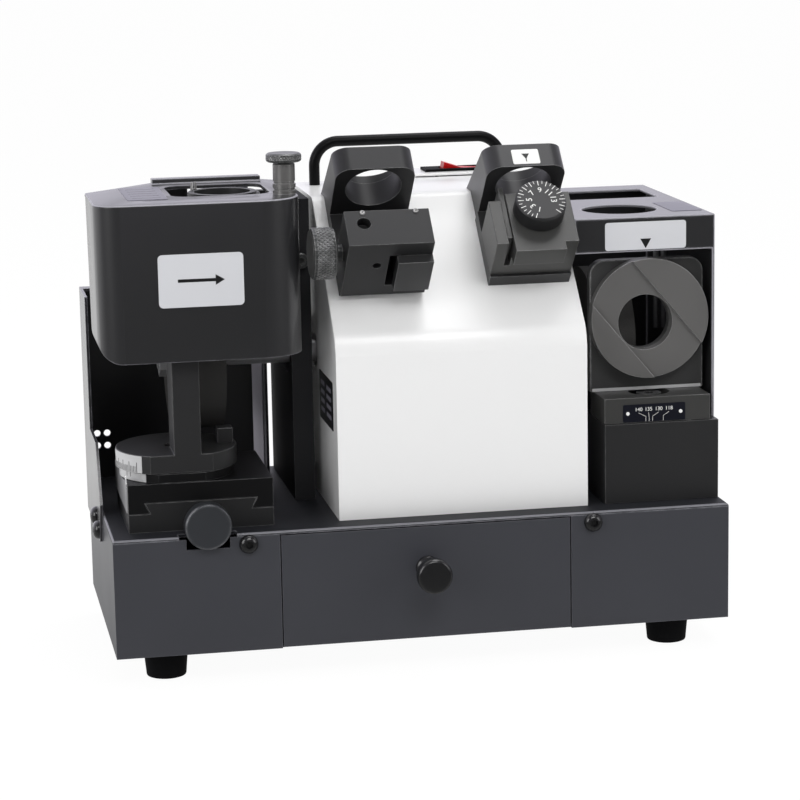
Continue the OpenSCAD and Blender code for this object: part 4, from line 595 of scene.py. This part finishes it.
# %% [markdown]
# A few hand moves come back on every piece. These shape it: select one object alone, open it for
# editing, pick faces or edges by a rule, start from a primitive, draw it up, and close the skin
# with all its faces looking out.

# %% Moves that shape a piece
def alone(piece):
    bpy.ops.object.select_all(action="DESELECT")
    piece.select_set(True)
    bpy.context.view_layer.objects.active = piece


def edit(piece):
    alone(piece)
    bpy.ops.object.mode_set(mode="EDIT")


def done():
    bpy.ops.object.mode_set(mode="OBJECT")


def pick(piece, kind, rule):
    bpy.ops.mesh.select_mode(type=kind)
    bpy.ops.mesh.select_all(action="DESELECT")
    work = bmesh.from_edit_mesh(piece.data)
    work.normal_update()
    for item in (work.faces if kind == "FACE" else work.edges):
        item.select_set(rule(item))
    bmesh.update_edit_mesh(piece.data)


def named(name):
    piece = bpy.context.object
    piece.name = name
    piece.data.name = name
    return piece


def fresh(name, primitive, **options):
    bpy.ops.object.select_all(action="DESELECT")
    primitive(**options)
    return named(name)


def rise(height):
    bpy.ops.mesh.extrude_region_move(TRANSFORM_OT_translate={"value": (0, 0, height * MM)})


def close_skin():
    bpy.ops.mesh.select_all(action="SELECT")
    bpy.ops.mesh.normals_make_consistent(inside=False)
    done()


print("moves that shape a piece: ready")

# %% [markdown]
# The other moves finish a piece: set it in its place, copy it, join it with others, and tell the
# frame which body carries it. A turn or a shift is applied to the mesh at once, so that every
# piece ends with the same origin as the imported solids.

# %% Moves that finish a piece
SMOOTH_ANGLE = 30


def place(piece, matrix):
    piece.matrix_world = matrix
    alone(piece)
    bpy.ops.object.transform_apply(location=True, rotation=True, scale=True)
    return piece


def shifted(piece, right=0.0, up=0.0, out=0.0):
    return place(piece, Matrix.Translation(Vector((right, up, out)) * MM))


def turned_by(piece, degrees):
    return place(piece, Matrix.Rotation(math.radians(degrees), 4, "Z"))


def twin(piece, name):
    copy = bpy.data.objects.new(name, piece.data.copy())
    bpy.context.scene.collection.objects.link(copy)
    return copy


def joined(name, pieces):
    bpy.ops.object.select_all(action="DESELECT")
    for piece in pieces:
        piece.select_set(True)
    bpy.context.view_layer.objects.active = pieces[0]
    bpy.ops.object.join()
    return named(name)


def hand_over(piece, body, slot, finish_of=None, stands_for=(), smooth=SMOOTH_ANGLE):
    if not piece.data.materials:
        piece.data.materials.append(finish_of or slots[slot])
    alone(piece)
    bpy.ops.object.shade_smooth_by_angle(angle=math.radians(smooth))
    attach(piece, body)
    if stands_for:
        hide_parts(*stands_for)
    print(piece.name, "rides on", body, "with", len(piece.data.polygons), "faces")


print("moves that finish a piece: ready")

# %% [markdown]
# Knobs, bushes and screws are turned on a lathe. A Screw modifier could spin a profile, but here a
# disc is drawn out from station to station and its end is resized each time, which leaves one
# closed skin with even rings. A station is a radius and a height. A six-sided turned key, which
# stands a little out of the screw, cuts the hexagon sockets.

# %% Lathe and hexagon socket
KEY_SIDES, KEY_ROOM = 6, 1


def turned(name, stations, sides=48):
    radius, height = stations[0]
    piece = fresh(name, bpy.ops.mesh.primitive_circle_add, vertices=sides, radius=radius * MM,
                  fill_type="NGON")
    edit(piece)
    bpy.ops.transform.translate(value=(0, 0, height * MM))
    for wide, high in stations[1:]:
        rise(high - height)
        grow = wide / radius
        bpy.ops.transform.resize(value=(grow, grow, 1), center_override=(0, 0, high * MM))
        radius, height = wide, high
    close_skin()
    return piece


def cut(piece, tool, operation="DIFFERENCE"):
    alone(piece)
    carve = piece.modifiers.new("carve", "BOOLEAN")
    carve.operation = operation
    carve.object = tool
    carve.solver = "EXACT"
    bpy.ops.object.modifier_apply(modifier="carve")
    bpy.data.objects.remove(tool)


def socketed(piece, across, low, high):
    corner = across / math.sqrt(3)
    cut(piece, turned("key", [(corner, low), (corner, high + KEY_ROOM)], KEY_SIDES))


print("lathe ready")

# %% [markdown]
# The drawer opens by a glossy mushroom knob. Its stem flares from a small foot, and its head is a
# low dome with a soft rim, so it is turned with many stations where the rim bends.

# %% Drawer knob
HEAD_RADIUS, RIM_RADIUS, RIM_HEIGHT = 12.5, 3, 26
RIM_BENDS = [math.radians(15 * step) for step in range(6)]
rim = [(HEAD_RADIUS - RIM_RADIUS + RIM_RADIUS * math.cos(bend),
        RIM_HEIGHT + RIM_RADIUS * math.sin(bend)) for bend in RIM_BENDS]
screw_end = [(3.5, -8), (3.5, -4), (2.4, -4), (2.4, 0)]
foot = [(8.5, 0), (8.5, 2.2), (7.9, 3), (6.0, 4)]
stem = [(5.5, 6), (5.5, 13), (6.4, 15.2), (8.6, 16.8), (11.2, 18.6), (12.2, 20.4), (12.5, 23)]
dome = [(9.0, 28.9), (5.0, 29), (1.5, 29)]
knob = turned("drawer_pull", screw_end + foot + stem + rim + dome)
place(knob, facing(TO_FRONT, right=0, back=0, up=51.5))
hand_over(knob, "drawer", "black_plastic", stands_for=["drawer_knob"], smooth=50)

# %% [markdown]
# Four button screws hold the base and the guard. A button screw is a low dome with a hexagon socket
# for a key. It is turned once, the socket is cut with a Boolean, and the screw is copied.

# %% Case screws
SCREW_PROFILE = [(4, -11), (4, 0), (6.7, 0), (6.7, 0.8), (6.5, 1.7), (5.9, 2.8), (4.9, 3.7),
                 (3.8, 4.2), (3.2, 4.4)]
SCREW_SEATS = [
    facing(TO_FRONT, right=-126, back=0, up=76.5), facing(TO_FRONT, right=120, back=0, up=76.5),
    facing(TO_LEFT, right=-222, back=115, up=76), facing(TO_LEFT, right=-222, back=96, up=70),
]
screw = turned("case_screw", SCREW_PROFILE, sides=40)
socketed(screw, across=4.8, low=1.8, high=4.4)
screws = [twin(screw, "case_screw_copy") for seat in SCREW_SEATS[1:]] + [screw]
for copy, seat in zip(screws, SCREW_SEATS):
    place(copy, seat)
hand_over(joined("button_screws", screws), "frame", "black_oxide", screw_black, ["case_screws"])

# %% [markdown]
# Fingers grip the setting knobs by a diamond knurl, which a wheel presses into the turned blank.
# A drum gets a fine grid of faces. Un-subdivide turns that grid into diamonds, and Poke raises a
# point in the middle of each. Both ends get a chamfer and a shallow dish. A bump in the material
# would be less work, but it would leave the outline of the knob smooth.

# %% Knurling
UPRIGHT_FACE, LEVEL_FACE = 0.5, 0.9
CHAMFER_SLANT, DISH_SHARE, DISH_DEPTH = 1.4, 0.25, 0.15


def knurled(name, radius, low, high, around, rows, depth, edge):
    length = (high - low - 2 * edge) * MM
    drum = fresh(name, bpy.ops.mesh.primitive_cylinder_add, vertices=around,
                 radius=(radius - depth) * MM, depth=length, end_fill_type="NGON")
    edit(drum)
    pick(drum, "EDGE", lambda e: abs(e.verts[0].co.z - e.verts[1].co.z) > length / 2)
    bpy.ops.mesh.subdivide(number_cuts=rows - 1)
    pick(drum, "FACE", lambda f: abs(f.normal.z) < UPRIGHT_FACE)
    bpy.ops.mesh.unsubdivide(iterations=1)
    pick(drum, "FACE", lambda f: abs(f.normal.z) < UPRIGHT_FACE and len(f.verts) == 4)
    bpy.ops.mesh.poke(offset=depth * MM)
    for way in (1, -1):
        pick(drum, "FACE", lambda f: f.normal.z * way > LEVEL_FACE and len(f.verts) > 4)
        bpy.ops.mesh.inset(thickness=CHAMFER_SLANT * edge * MM, depth=edge * MM)
        bpy.ops.mesh.inset(thickness=DISH_SHARE * radius * MM, depth=-DISH_DEPTH * MM)
    close_skin()
    return shifted(drum, out=(low + high) / 2)


print("knurling ready")

# %% [markdown]
# The left fixture is set by a knurled knob on a lead screw. The knob turns with the screw, so both
# are one piece: the drum, the collar against the block and the screw inside.

# %% Left setting knob
TO_KNOB = Matrix.Rotation(math.radians(-90), 4, "Y")
KNURL_SMOOTH = 25
grip = knurled("grip", radius=18.25, low=0, high=17, around=72, rows=8, depth=0.6, edge=1.0)
spindle = turned("knob_spindle", [(4, -54), (4, -5.2), (6, -5.2), (6, 0.2), (4, 0.2)], sides=32)
knob = joined("knurled_knob", [grip, spindle])
place(knob, on_slope(right=-56.5, along=52.008, out=36) @ TO_KNOB)
hand_over(knob, "left_adjuster", "black_oxide", turned_steel, ["left_knob"], smooth=KNURL_SMOOTH)

# %% [markdown]
# A spring plunger locks the cover. Its knurled head is pulled up by hand, and its pin runs down
# into the catch. The head is a knurled drum again, joined with a turned stem.

# %% Plunger
PLUNGER_RIGHT, PLUNGER_BACK = -88.5, 43
plunger_axis = facing(UPRIGHT, PLUNGER_RIGHT, PLUNGER_BACK, up=0)
grip = knurled("plunger_grip", radius=12.5, low=336, high=342.2, around=72, rows=4, depth=0.4,
               edge=0.8)
stem = [(2.3, 297.5), (2.5, 298), (2.5, 304), (4, 304), (4, 336.4), (3, 336.4)]
head = joined("knurled_plunger", [grip, turned("plunger_stem", stem, sides=32)])
place(head, plunger_axis)
hand_over(head, "plunger", "black_oxide", turned_steel, ["plunger_pin"], smooth=KNURL_SMOOTH)

# %% [markdown]
# The plunger runs through a bush that is screwed into the cover. It shows a bright sleeve and two
# grooves at its foot. It is turned outside and inside in one go, from the lower rim up, over the
# top and down the bore. Then the two end discs are taken out and the open rims are bridged.

# %% Plunger bush
thread = [(5.5, 306), (5.5, 314)]
grooves = [(8, 314), (8, 316.4), (7.2, 316.8), (7.2, 317.8), (8, 318.2), (8, 321), (7.2, 321.4),
           (7.2, 322.4)]
sleeve = [(7.7, 322.8), (7.7, 334.4), (7.2, 335)]
bore = [(4.05, 335), (4.05, 306)]
bush = turned("grooved_bush", thread + grooves + sleeve + bore, sides=40)
edit(bush)
pick(bush, "FACE", lambda f: abs(f.normal.z) > LEVEL_FACE and len(f.verts) > 4)
bpy.ops.mesh.delete(type="ONLY_FACE")
pick(bush, "EDGE", lambda e: e.is_boundary)
bpy.ops.mesh.bridge_edge_loops()
close_skin()
place(bush, plunger_axis)
hand_over(bush, "cover", "ground_steel", stands_for=["plunger_bush"])

# %% [markdown]
# The index pin stands beside the mill seat, and a notch in the chuck drops over it. Its top is
# slit, which leaves two prongs, so a thin slab is cut out of a turned pin.

# %% Index pin
PIN_TOP = 318
SLIT = (0.9, 8, 9)  # across, along and up
profile = [(2.0, 296), (2.25, 296.4), (2.25, 317.2), (1.8, PIN_TOP)]
pin = turned("slotted_pin", profile, sides=32)
slit = fresh("slit", bpy.ops.mesh.primitive_cube_add, size=1)
slab = Matrix.Diagonal((*(side * MM for side in SLIT), 1))
place(slit, Matrix.Translation((0, 0, PIN_TOP * MM)) @ slab)
cut(pin, slit)
place(pin, facing(UPRIGHT, right=-145.5, back=98, up=0))
hand_over(pin, "mill_head", "ground_steel", stands_for=["index_pin"])

# %% [markdown]
# Folded sheet has round folds, and an even ease on all edges is too fine for them. So the folds
# that show are rounded on a copy of the imported solid. The copy is merged first, because the
# imported mesh is loose triangles, and then its fold edges are selected by their place and
# bevelled. The middle of a fold gets a pale colour, a painted highlight that shows as a thin
# bright line.

# %% Merged copies and folds
PLACE_ROOM = 0.05
FOLD_MIDDLE = (0.4, 0.9)


def merge(piece):
    edit(piece)
    bpy.ops.mesh.select_all(action="SELECT")
    bpy.ops.mesh.remove_doubles(threshold=JOIN_WITHIN)
    bpy.ops.mesh.dissolve_limited(angle_limit=FLAT_ANGLE)
    done()


def merged(node, name):
    piece = twin(nodes[node], name)
    piece.data.materials.clear()
    merge(piece)
    return piece


def near(value, target):
    return abs(value - target) < PLACE_ROOM


def fold(piece, radius, steps, rule):
    edit(piece)
    pick(piece, "EDGE", lambda e: all(rule(v.co / MM - BASE_SHIFT) for v in e.verts))
    count = sum(e.select for e in bmesh.from_edit_mesh(piece.data).edges)
    bpy.ops.mesh.bevel(offset=radius * MM, segments=steps, profile=0.5, affect="EDGES",
                       clamp_overlap=True)
    done()
    print(piece.name, "folds:", count)


def eased(piece, width):
    alone(piece)
    ease(piece, width)
    for modifier in list(piece.modifiers):
        bpy.ops.object.modifier_apply(modifier=modifier.name)


# Painted highlight: faces in the middle of a fold take the second, pale material.
def glint(piece, main, highlight):
    for material in (main, highlight):
        piece.data.materials.append(material)
    edit(piece)
    pick(piece, "FACE", lambda f: FOLD_MIDDLE[0] < f.normal.z < FOLD_MIDDLE[1])
    piece.active_material_index = 1
    bpy.ops.object.material_slot_assign()
    done()


print("folds ready")

# %% [markdown]
# The deck is the top sheet of the base. Its long front and side folds get a painted highlight, a
# thin bright line, and the sheet a darker paint as painted shade.

# %% Deck
deck_low, deck_high = measured("base_deck")


def on_deck_rim(p):
    at_side = near(p.x, deck_low.x) or near(p.x, deck_high.x)
    return near(p.z, deck_high.z) and (at_side or near(p.y, deck_low.y) or near(p.y, deck_high.y))


deck = merged("base_deck", "folded_deck")
fold(deck, radius=2.3, steps=4, rule=on_deck_rim)
# Painted highlight on the fold middles; the deck paint itself is a painted shade.
glint(deck, shaded_deck_coat, highlight_charcoal)
hand_over(deck, "frame", "charcoal_paint", stands_for=["base_deck"])

# %% [markdown]
# The mill cover is pressed from one sheet, so its top rolls over into its walls. Only the outer rim
# of the top is rounded. The hatch and the plunger's hole are cut edges and stay crisp.

# %% Mill cover
COVER_TOP = 314
HATCH_RIGHT, HATCH_BACK = -131.5, 79.5
HATCH_ROOM_ACROSS, HATCH_ROOM_BACK = 35.5, 34.5
BUSH_ROOM = 9
cover_low, cover_high = measured("mill_cover")


def on_cover_rim(p):
    across, back = abs(p.x - HATCH_RIGHT), abs(p.y - HATCH_BACK)
    in_hatch = across < HATCH_ROOM_ACROSS and back < HATCH_ROOM_BACK
    from_bush = math.hypot(p.x - PLUNGER_RIGHT, p.y - PLUNGER_BACK)
    at_bush = from_bush < BUSH_ROOM and not near(p.x, cover_high.x)
    return near(p.z, COVER_TOP) and not in_hatch and not at_bush


cover = merged("mill_cover", "rolled_cover")
fold(cover, radius=2.2, steps=4, rule=on_cover_rim)
eased(cover, width=0.4)
# Painted highlight: the middle of the rolled rim takes a pale colour.
glint(cover, slots["black_paint"], highlight_black)
hand_over(cover, "cover", "black_paint", stands_for=["mill_cover"])

# %% [markdown]
# The motor casing is a bent shell between two cheeks, welded and ground flush before painting. So
# the three solids are united with Booleans, the bends get wide radii and the ground seams small
# ones. The slope rises at 45 degrees, so it runs as far back as it runs up. The openings round the
# spindle stay crisp.

# %% Motor casing
SPINDLE_BACK, SPINDLE_HEIGHT, OPENING_ROOM = 115, 190, 75
ABOVE_DECK = 0.2
left_cheek, right_cheek = measured("body_left_side")[0].x, measured("body_right_side")[1].x
slope_back = body_low.y + body_high.z - KINK_HEIGHT


def on_cheek_seam(p):
    at_cheek = near(p.x, left_cheek) or near(p.x, right_cheek)
    from_spindle = math.hypot(p.y - SPINDLE_BACK, p.z - SPINDLE_HEIGHT)
    return at_cheek and p.z > deck_high.z + ABOVE_DECK and from_spindle > OPENING_ROOM


casing = merged("body_shell", "motor_casing")
for side in ("body_left_side", "body_right_side"):
    cut(casing, merged(side, side + "_copy"), "UNION")
merge(casing)
fold(casing, radius=9, steps=8, rule=lambda p: near(p.y, body_low.y) and near(p.z, KINK_HEIGHT))
fold(casing, radius=4, steps=5, rule=lambda p: near(p.y, slope_back) and near(p.z, body_high.z))
fold(casing, radius=2.4, steps=4, rule=on_cheek_seam)
hand_over(casing, "frame", "white_paint",
          stands_for=["body_shell", "body_left_side", "body_right_side"])

# %% [markdown]
# Labels and scale plates are thin foil with rounded corners. A plane gets round corners by a vertex
# bevel, is drawn out to its thickness, and an inset softens its rim. A picture on a plane would
# blur close up, so marks and bars are small plates of their own, and figures are text turned into
# a mesh. The plates are bare or carry plain marks.

# %% Plates and marks
FOIL = 0.25
CORNER_STEPS = 5
RIM, SWELL = 0.12, 0.02
BAR_RAISE, MARK_RAISE = 0.1, 0.12
BAR_CORNER, MARK_RIM = 0.2, 0.05
CURVE_STEPS = 4


def plate(name, wide, high, material, corner, thick=FOIL):
    piece = fresh(name, bpy.ops.mesh.primitive_plane_add, size=1)
    piece.data.materials.append(material)
    edit(piece)
    bpy.ops.transform.resize(value=(wide * MM, high * MM, 1), center_override=(0, 0, 0))
    bpy.ops.mesh.bevel(offset=corner * MM, segments=CORNER_STEPS, affect="VERTICES")
    rise(thick)
    bpy.ops.mesh.inset(thickness=RIM * MM, depth=SWELL * MM)
    close_skin()
    return piece


def mark(sides, radius, material, right=0.0, up=0.0, base=FOIL, thick=MARK_RAISE, turn=0.0,
         stretch=(1, 1)):
    piece = fresh("mark", bpy.ops.mesh.primitive_circle_add, vertices=sides, radius=radius * MM,
                  fill_type="NGON")
    piece.data.materials.append(material)
    edit(piece)
    rise(thick)
    bpy.ops.mesh.inset(thickness=MARK_RIM * radius * MM, depth=SWELL * MM)
    done()
    turned_by(piece, turn)
    place(piece, Matrix.Diagonal((*stretch, 1, 1)))
    return shifted(piece, right, up, base)


def bar(wide, high, material, right=0.0, up=0.0, base=FOIL):
    piece = plate("bar", wide, high, material, BAR_CORNER * min(wide, high), BAR_RAISE)
    return shifted(piece, right, up, base)


def figure(text, size, material, base):
    sign = fresh("figure", bpy.ops.object.text_add)
    sign.data.body = text
    sign.data.size = size * MM
    sign.data.extrude = MARK_RAISE / 2 * MM
    sign.data.align_x = "CENTER"
    sign.data.align_y = "CENTER"
    sign.data.resolution_u = CURVE_STEPS
    bpy.ops.object.convert(target="MESH")
    piece = named("figure")
    piece.data.materials.clear()
    piece.data.materials.append(material)
    return shifted(piece, out=base + MARK_RAISE / 2)


print("plates ready")

# %% [markdown]
# The cover carries a pale label in front and a grey foil on its top. The label has a plain arrow
# that shows which way the wheel turns, and the foil has a few dark lines.

# %% Cover plates
label = plate("cover_label", wide=58.5, high=36.5, material=pale_foil, corner=3)
shaft = bar(wide=26, high=2.2, material=black_ink, right=-3)
tip = mark(sides=3, radius=4.2, material=black_ink, right=12, turn=-90)
label = joined("cover_label", [label, shaft, tip])
place(label, facing(TO_FRONT, right=-152.2, back=cover_low.y, up=261.2))
hand_over(label, "cover", "white_paint")
FOIL_PITCH = 13
foil = plate("cover_foil", wide=28, high=74, material=grey_foil, corner=1.5)
lines = [bar(wide=20, high=2.0, material=slots["black_paint"], up=FOIL_PITCH * row)
         for row in range(-2, 3)]
foil = joined("cover_foil", [foil] + lines)
place(foil, facing(UPRIGHT, right=-184, back=72, up=COVER_TOP))
hand_over(foil, "cover", "black_paint")

# %% [markdown]
# The hood carries the same pair. Its label has a plain triangle that points down at the chuck's
# seat, and its foil is bare.

# %% Hood plates
hood_low, hood_high = measured("drill_hood")
label = plate("hood_label", wide=59.5, high=20, material=pale_foil, corner=2)
tip = mark(sides=3, radius=4.6, material=black_ink, up=-4.5, turn=180)
label = joined("hood_label", [label, tip])
place(label, facing(TO_FRONT, right=168.7, back=hood_low.y, up=274.5))
hand_over(label, "frame", "white_paint")
foil = plate("hood_foil", wide=22.5, high=52, material=grey_foil, corner=1.5)
place(foil, facing(UPRIGHT, right=206, back=84, up=hood_high.z))
hand_over(foil, "frame", "black_paint")

# %% [markdown]
# A dark data plate is fixed to the left cheek of the casing. Its fields are empty pale boxes in two
# columns, so a loop sets them out.

# %% Data plate
COLUMNS = ((-14, 16), (12, 20))
ROW_START, ROW_PITCH, ROWS = 10, 6.5, 4
fields = [bar(wide=wide, high=3.4, material=grey_foil, right=right, up=ROW_START - ROW_PITCH * row)
          for row in range(ROWS) for right, wide in COLUMNS]
sheet = plate("data_plate", wide=58, high=35, material=black_ink, corner=1.5, thick=0.3)
sheet = joined("data_plate", [sheet] + fields)
place(sheet, facing(TO_LEFT, right=left_cheek, back=64, up=162.5))
hand_over(sheet, "frame", "black_paint")

# %% [markdown]
# The drill head is set by a navy scale plate with point angles from 140 to 118 degrees and a rivet
# at each end. The index lines stand closer than the numbers have room, so a thin stroke leads from
# each number to its line.

# %% Drill angle plate
SCALE_THICK = 0.4
NUMBER_SIZE, NUMBER_UP = 3.8, 2.6
STROKE_WIDE = 0.3
STROKE_TOP, STROKE_BEND, STROKE_FOOT, STROKE_LAP = 0.2, -2.6, -6.1, 0.1
ANGLES = (("140", -11.5, -6.2), ("135", -4.2, -3.8), ("130", 3.3, -1.2), ("118", 10.9, 6.7))
RIVETS = (-19.5, 19.5)


def stroke(start, end):
    start, end = Vector(start), Vector(end)
    way, centre = end - start, (start + end) / 2
    piece = bar(way.length, STROKE_WIDE, white_ink, base=SCALE_THICK)
    return shifted(turned_by(piece, math.degrees(math.atan2(way.y, way.x))), *centre)


parts = [plate("angle_plate", wide=45.8, high=12.7, material=navy_foil, corner=0.8,
               thick=SCALE_THICK)]
for text, right, index in ANGLES:
    number = figure(text, NUMBER_SIZE, white_ink, base=SCALE_THICK)
    parts += [shifted(number, right, NUMBER_UP),
              stroke((right, STROKE_TOP), (index, STROKE_BEND)),
              stroke((index, STROKE_BEND + STROKE_LAP), (index, STROKE_FOOT))]
parts += [mark(sides=16, radius=1.3, material=white_ink, right=right, base=SCALE_THICK, thick=0.5)
          for right in RIVETS]
block_front = measured("drill_swivel_block")[0].y
scale = joined("angle_plate", parts)
place(scale, facing(TO_FRONT, right=170.4, back=block_front, up=149.3))
hand_over(scale, "drill_head", "black_paint")

# %% [markdown]
# A thin satin silver strip runs along the bottom of the drill head's seat plate: a painted
# highlight for the light its lower edge catches.

# %% Seat highlight
seat_low, seat_high = measured("drill_seat_plate")
seat_middle = (seat_low.x + seat_high.x) / 2
seat_highlight = plate("seat_highlight", wide=81, high=2.2, material=satin_silver, corner=0.4, thick=0.6)
place(seat_highlight, facing(TO_FRONT, right=seat_middle, back=seat_low.y, up=161.8))
hand_over(seat_highlight, "drill_head", "bright_steel")

# %% [markdown]
# The right ring has a white sticker with a plain triangle that shows where the chuck's mark goes.

# %% Ring sticker
sticker = plate("ring_sticker", wide=19.5, high=13, material=white_ink, corner=1.2)
tip = mark(sides=3, radius=3.2, material=black_ink, up=1, turn=180)
tail = bar(wide=0.6, high=3, material=black_ink, up=-3)
sticker = joined("ring_sticker", [sticker, tip, tail])
place(sticker, on_slope(right=86.2, along=111.5, out=60))
hand_over(sticker, "frame", "white_paint")

# %% [markdown]
# The depth dial is engraved with odd numbers and a ring of lines, filled with white paint. One line
# is drawn and spun round the dial as copies, and each number is turned so that its top points out.

# %% Dial figures
LINE_PITCH, FIRST_LINE = 22.5, -45
DIAL_SIZE, DIAL_RADIUS, DIAL_TOP = 6.2, 8.6, 90
DIAL = (("9", 88), ("7", 133), ("5", 176), ("3", 216), ("1", 252), ("11", 45), ("13", 2))


def spun(piece, sweep, steps):
    edit(piece)
    bpy.ops.mesh.select_all(action="SELECT")
    bpy.ops.mesh.spin(steps=steps, dupli=True, angle=-math.radians(sweep), center=(0, 0, 0),
                      axis=(0, 0, 1))


def dial_lines(name, inner, outer, wide, steps):
    piece = fresh(name, bpy.ops.mesh.primitive_plane_add, size=1)
    piece.data.materials.append(white_ink)
    edit(piece)
    size = ((outer - inner) * MM, wide * MM, 1)
    bpy.ops.transform.resize(value=size, center_override=(0, 0, 0))
    bpy.ops.transform.translate(value=((inner + outer) / 2 * MM, 0, 0))
    rise(BAR_RAISE)
    done()
    spun(piece, steps * LINE_PITCH, steps)
    close_skin()
    return piece


long_lines = dial_lines("long_lines", inner=12.8, outer=17, wide=0.5, steps=13)
short_lines = dial_lines("short_lines", inner=14.5, outer=17, wide=0.4, steps=12)
parts = [turned_by(long_lines, FIRST_LINE), turned_by(short_lines, FIRST_LINE + LINE_PITCH / 2)]
for text, angle in DIAL:
    number = shifted(figure(text, DIAL_SIZE, white_ink, base=0), up=DIAL_RADIUS)
    parts.append(turned_by(number, angle - DIAL_TOP))
figures = place(joined("dial_figures", parts), on_slope(right=91, along=73.008, out=59.3))
hand_over(figures, "dial", "white_paint")

# %% [markdown]
# The swivel of the mill head reads on a silver band round its disc. A band is an arc of a circle,
# drawn up to its height and given a thickness. Its lines are one narrow plate, stood on end at the
# rim and spun round as copies.

# %% Bands and rim lines
BAND_SIDES, BAND_THICK = 180, 0.3
LINE_SINK, LINE_THICK, LINE_CORNER = 0.02, 0.08, 0.05
ON_END = Matrix(((0, 0, 1, 0), (0, 1, 0, 0), (-1, 0, 0, 0), (0, 0, 0, 1)))


def band(name, radius, start, end, low, high):
    piece = fresh(name, bpy.ops.mesh.primitive_circle_add, vertices=BAND_SIDES, radius=radius * MM)
    piece.data.materials.append(satin_silver)
    edit(piece)

    def outside(e):
        centre = (e.verts[0].co + e.verts[1].co) / 2
        bearing = math.atan2(centre.y, centre.x) % math.tau
        return not math.radians(start) < bearing < math.radians(end)

    pick(piece, "EDGE", outside)
    bpy.ops.mesh.delete(type="EDGE")
    bpy.ops.mesh.select_all(action="SELECT")
    drawn = {"value": (0, 0, (high - low) * MM)}
    bpy.ops.mesh.extrude_edges_move(TRANSFORM_OT_translate=drawn)
    bpy.ops.mesh.select_all(action="SELECT")
    bpy.ops.mesh.delete_loose()
    close_skin()
    thicken = piece.modifiers.new("thicken", "SOLIDIFY")
    thicken.thickness = BAND_THICK * MM
    thicken.offset = 1
    bpy.ops.object.modifier_apply(modifier="thicken")
    return shifted(piece, out=low)


def rim_lines(radius, start, sweep, steps, low, high, wide):
    piece = plate("rim_lines", high - low, wide, black_ink, LINE_CORNER, LINE_THICK)
    place(piece, ON_END)
    shifted(piece, right=radius + BAND_THICK - LINE_SINK, out=(low + high) / 2)
    spun(piece, sweep, steps)
    done()
    return turned_by(piece, start)


print("bands ready")

# %% [markdown]
# The upper band turns with the mill head and has short lines with a long one at every fifth. The
# fixed band under it carries the zero.

# %% Swivel scale
DISC_RADIUS, ZERO_RADIUS = 42.5, 40
SCALE_FOOT = 125.9
scale_span = {"radius": DISC_RADIUS, "start": 184, "sweep": 40, "low": SCALE_FOOT}
swivel_axis = facing(UPRIGHT, right=-168.5, back=55.5, up=0)
parts = [band("swivel_band", DISC_RADIUS, start=181, end=229, low=125.7, high=137.7),
         rim_lines(**scale_span, steps=20, high=130.2, wide=0.45),
         rim_lines(**scale_span, steps=4, high=133, wide=0.5)]
hand_over(place(joined("swivel_band", parts), swivel_axis), "mill_head", "bright_steel")
parts = [band("zero_band", ZERO_RADIUS, start=178, end=232, low=119.0, high=124.7),
         rim_lines(ZERO_RADIUS, start=205, sweep=6, steps=1, low=121.5, high=124.6, wide=0.5)]
hand_over(place(joined("zero_band", parts), swivel_axis), "mill_slide", "bright_steel")

# %% [markdown]
# A ground steel strip on the left of the slide covers the gib and carries a small pointer at its
# front top corner.

# %% Slide strip
STRIP_THICK = 0.9
strip = plate("slide_strip", wide=90, high=19.5, material=strip_steel, corner=1.2,
              thick=STRIP_THICK)
pointer = mark(sides=3, radius=4.0, material=strip_steel, right=38, up=11.5, base=0,
               thick=STRIP_THICK, stretch=(0.8, 1))
strip = joined("slide_strip", [strip, pointer])
place(strip, facing(TO_LEFT, right=-206.75, back=64.5, up=108.2))
hand_over(strip, "mill_slide", "bright_steel")

# %% [markdown]
# The right flange of the guard carries a flat pale lavender strip on its inner face, a painted
# reflection of the light the flange catches. It is turned a little to the front, so it shines out
# of the dark behind the mill slide.

# %% Guard strip
STRIP_TURN = math.radians(35)
slant = Matrix.Rotation(STRIP_TURN, 4, "Z") @ TO_LEFT
strip = plate("guard_strip", wide=11, high=140, material=painted_reflection, corner=1, thick=0.5)
place(strip, facing(slant, right=-91.3, back=192.5, up=158))
hand_over(strip, "frame", "bright_steel")

# %% [markdown]
# A socket cap screw shows on the front of the post, and two set screws on top of the left stop
# block. Both are turned and get a hexagon socket.

# %% Cap screw and set screws
CAP_PROFILE = [(5.1, 0), (5.5, 0.4), (5.5, 5.2), (5.1, 5.7), (4.2, 6)]
SET_PROFILE = [(1.9, 0), (1.9, 0.6), (1.6, 0.9)]
SET_PLACES = (-38.0, -0.5)
cap = turned("post_screw", CAP_PROFILE, sides=40)
socketed(cap, across=5, low=3, high=6)
place(cap, facing(TO_FRONT, right=-71.5, back=90, up=260))
hand_over(cap, "frame", "black_oxide", turned_steel)
grub = turned("set_screw", SET_PROFILE, sides=24)
socketed(grub, across=1.8, low=0.3, high=0.9)
for number, right in enumerate(SET_PLACES):
    copy = place(twin(grub, "set_screw_%d" % number), on_slope(right, along=65, out=63))
    hand_over(copy, "frame", "ground_steel")
bpy.data.objects.remove(grub)
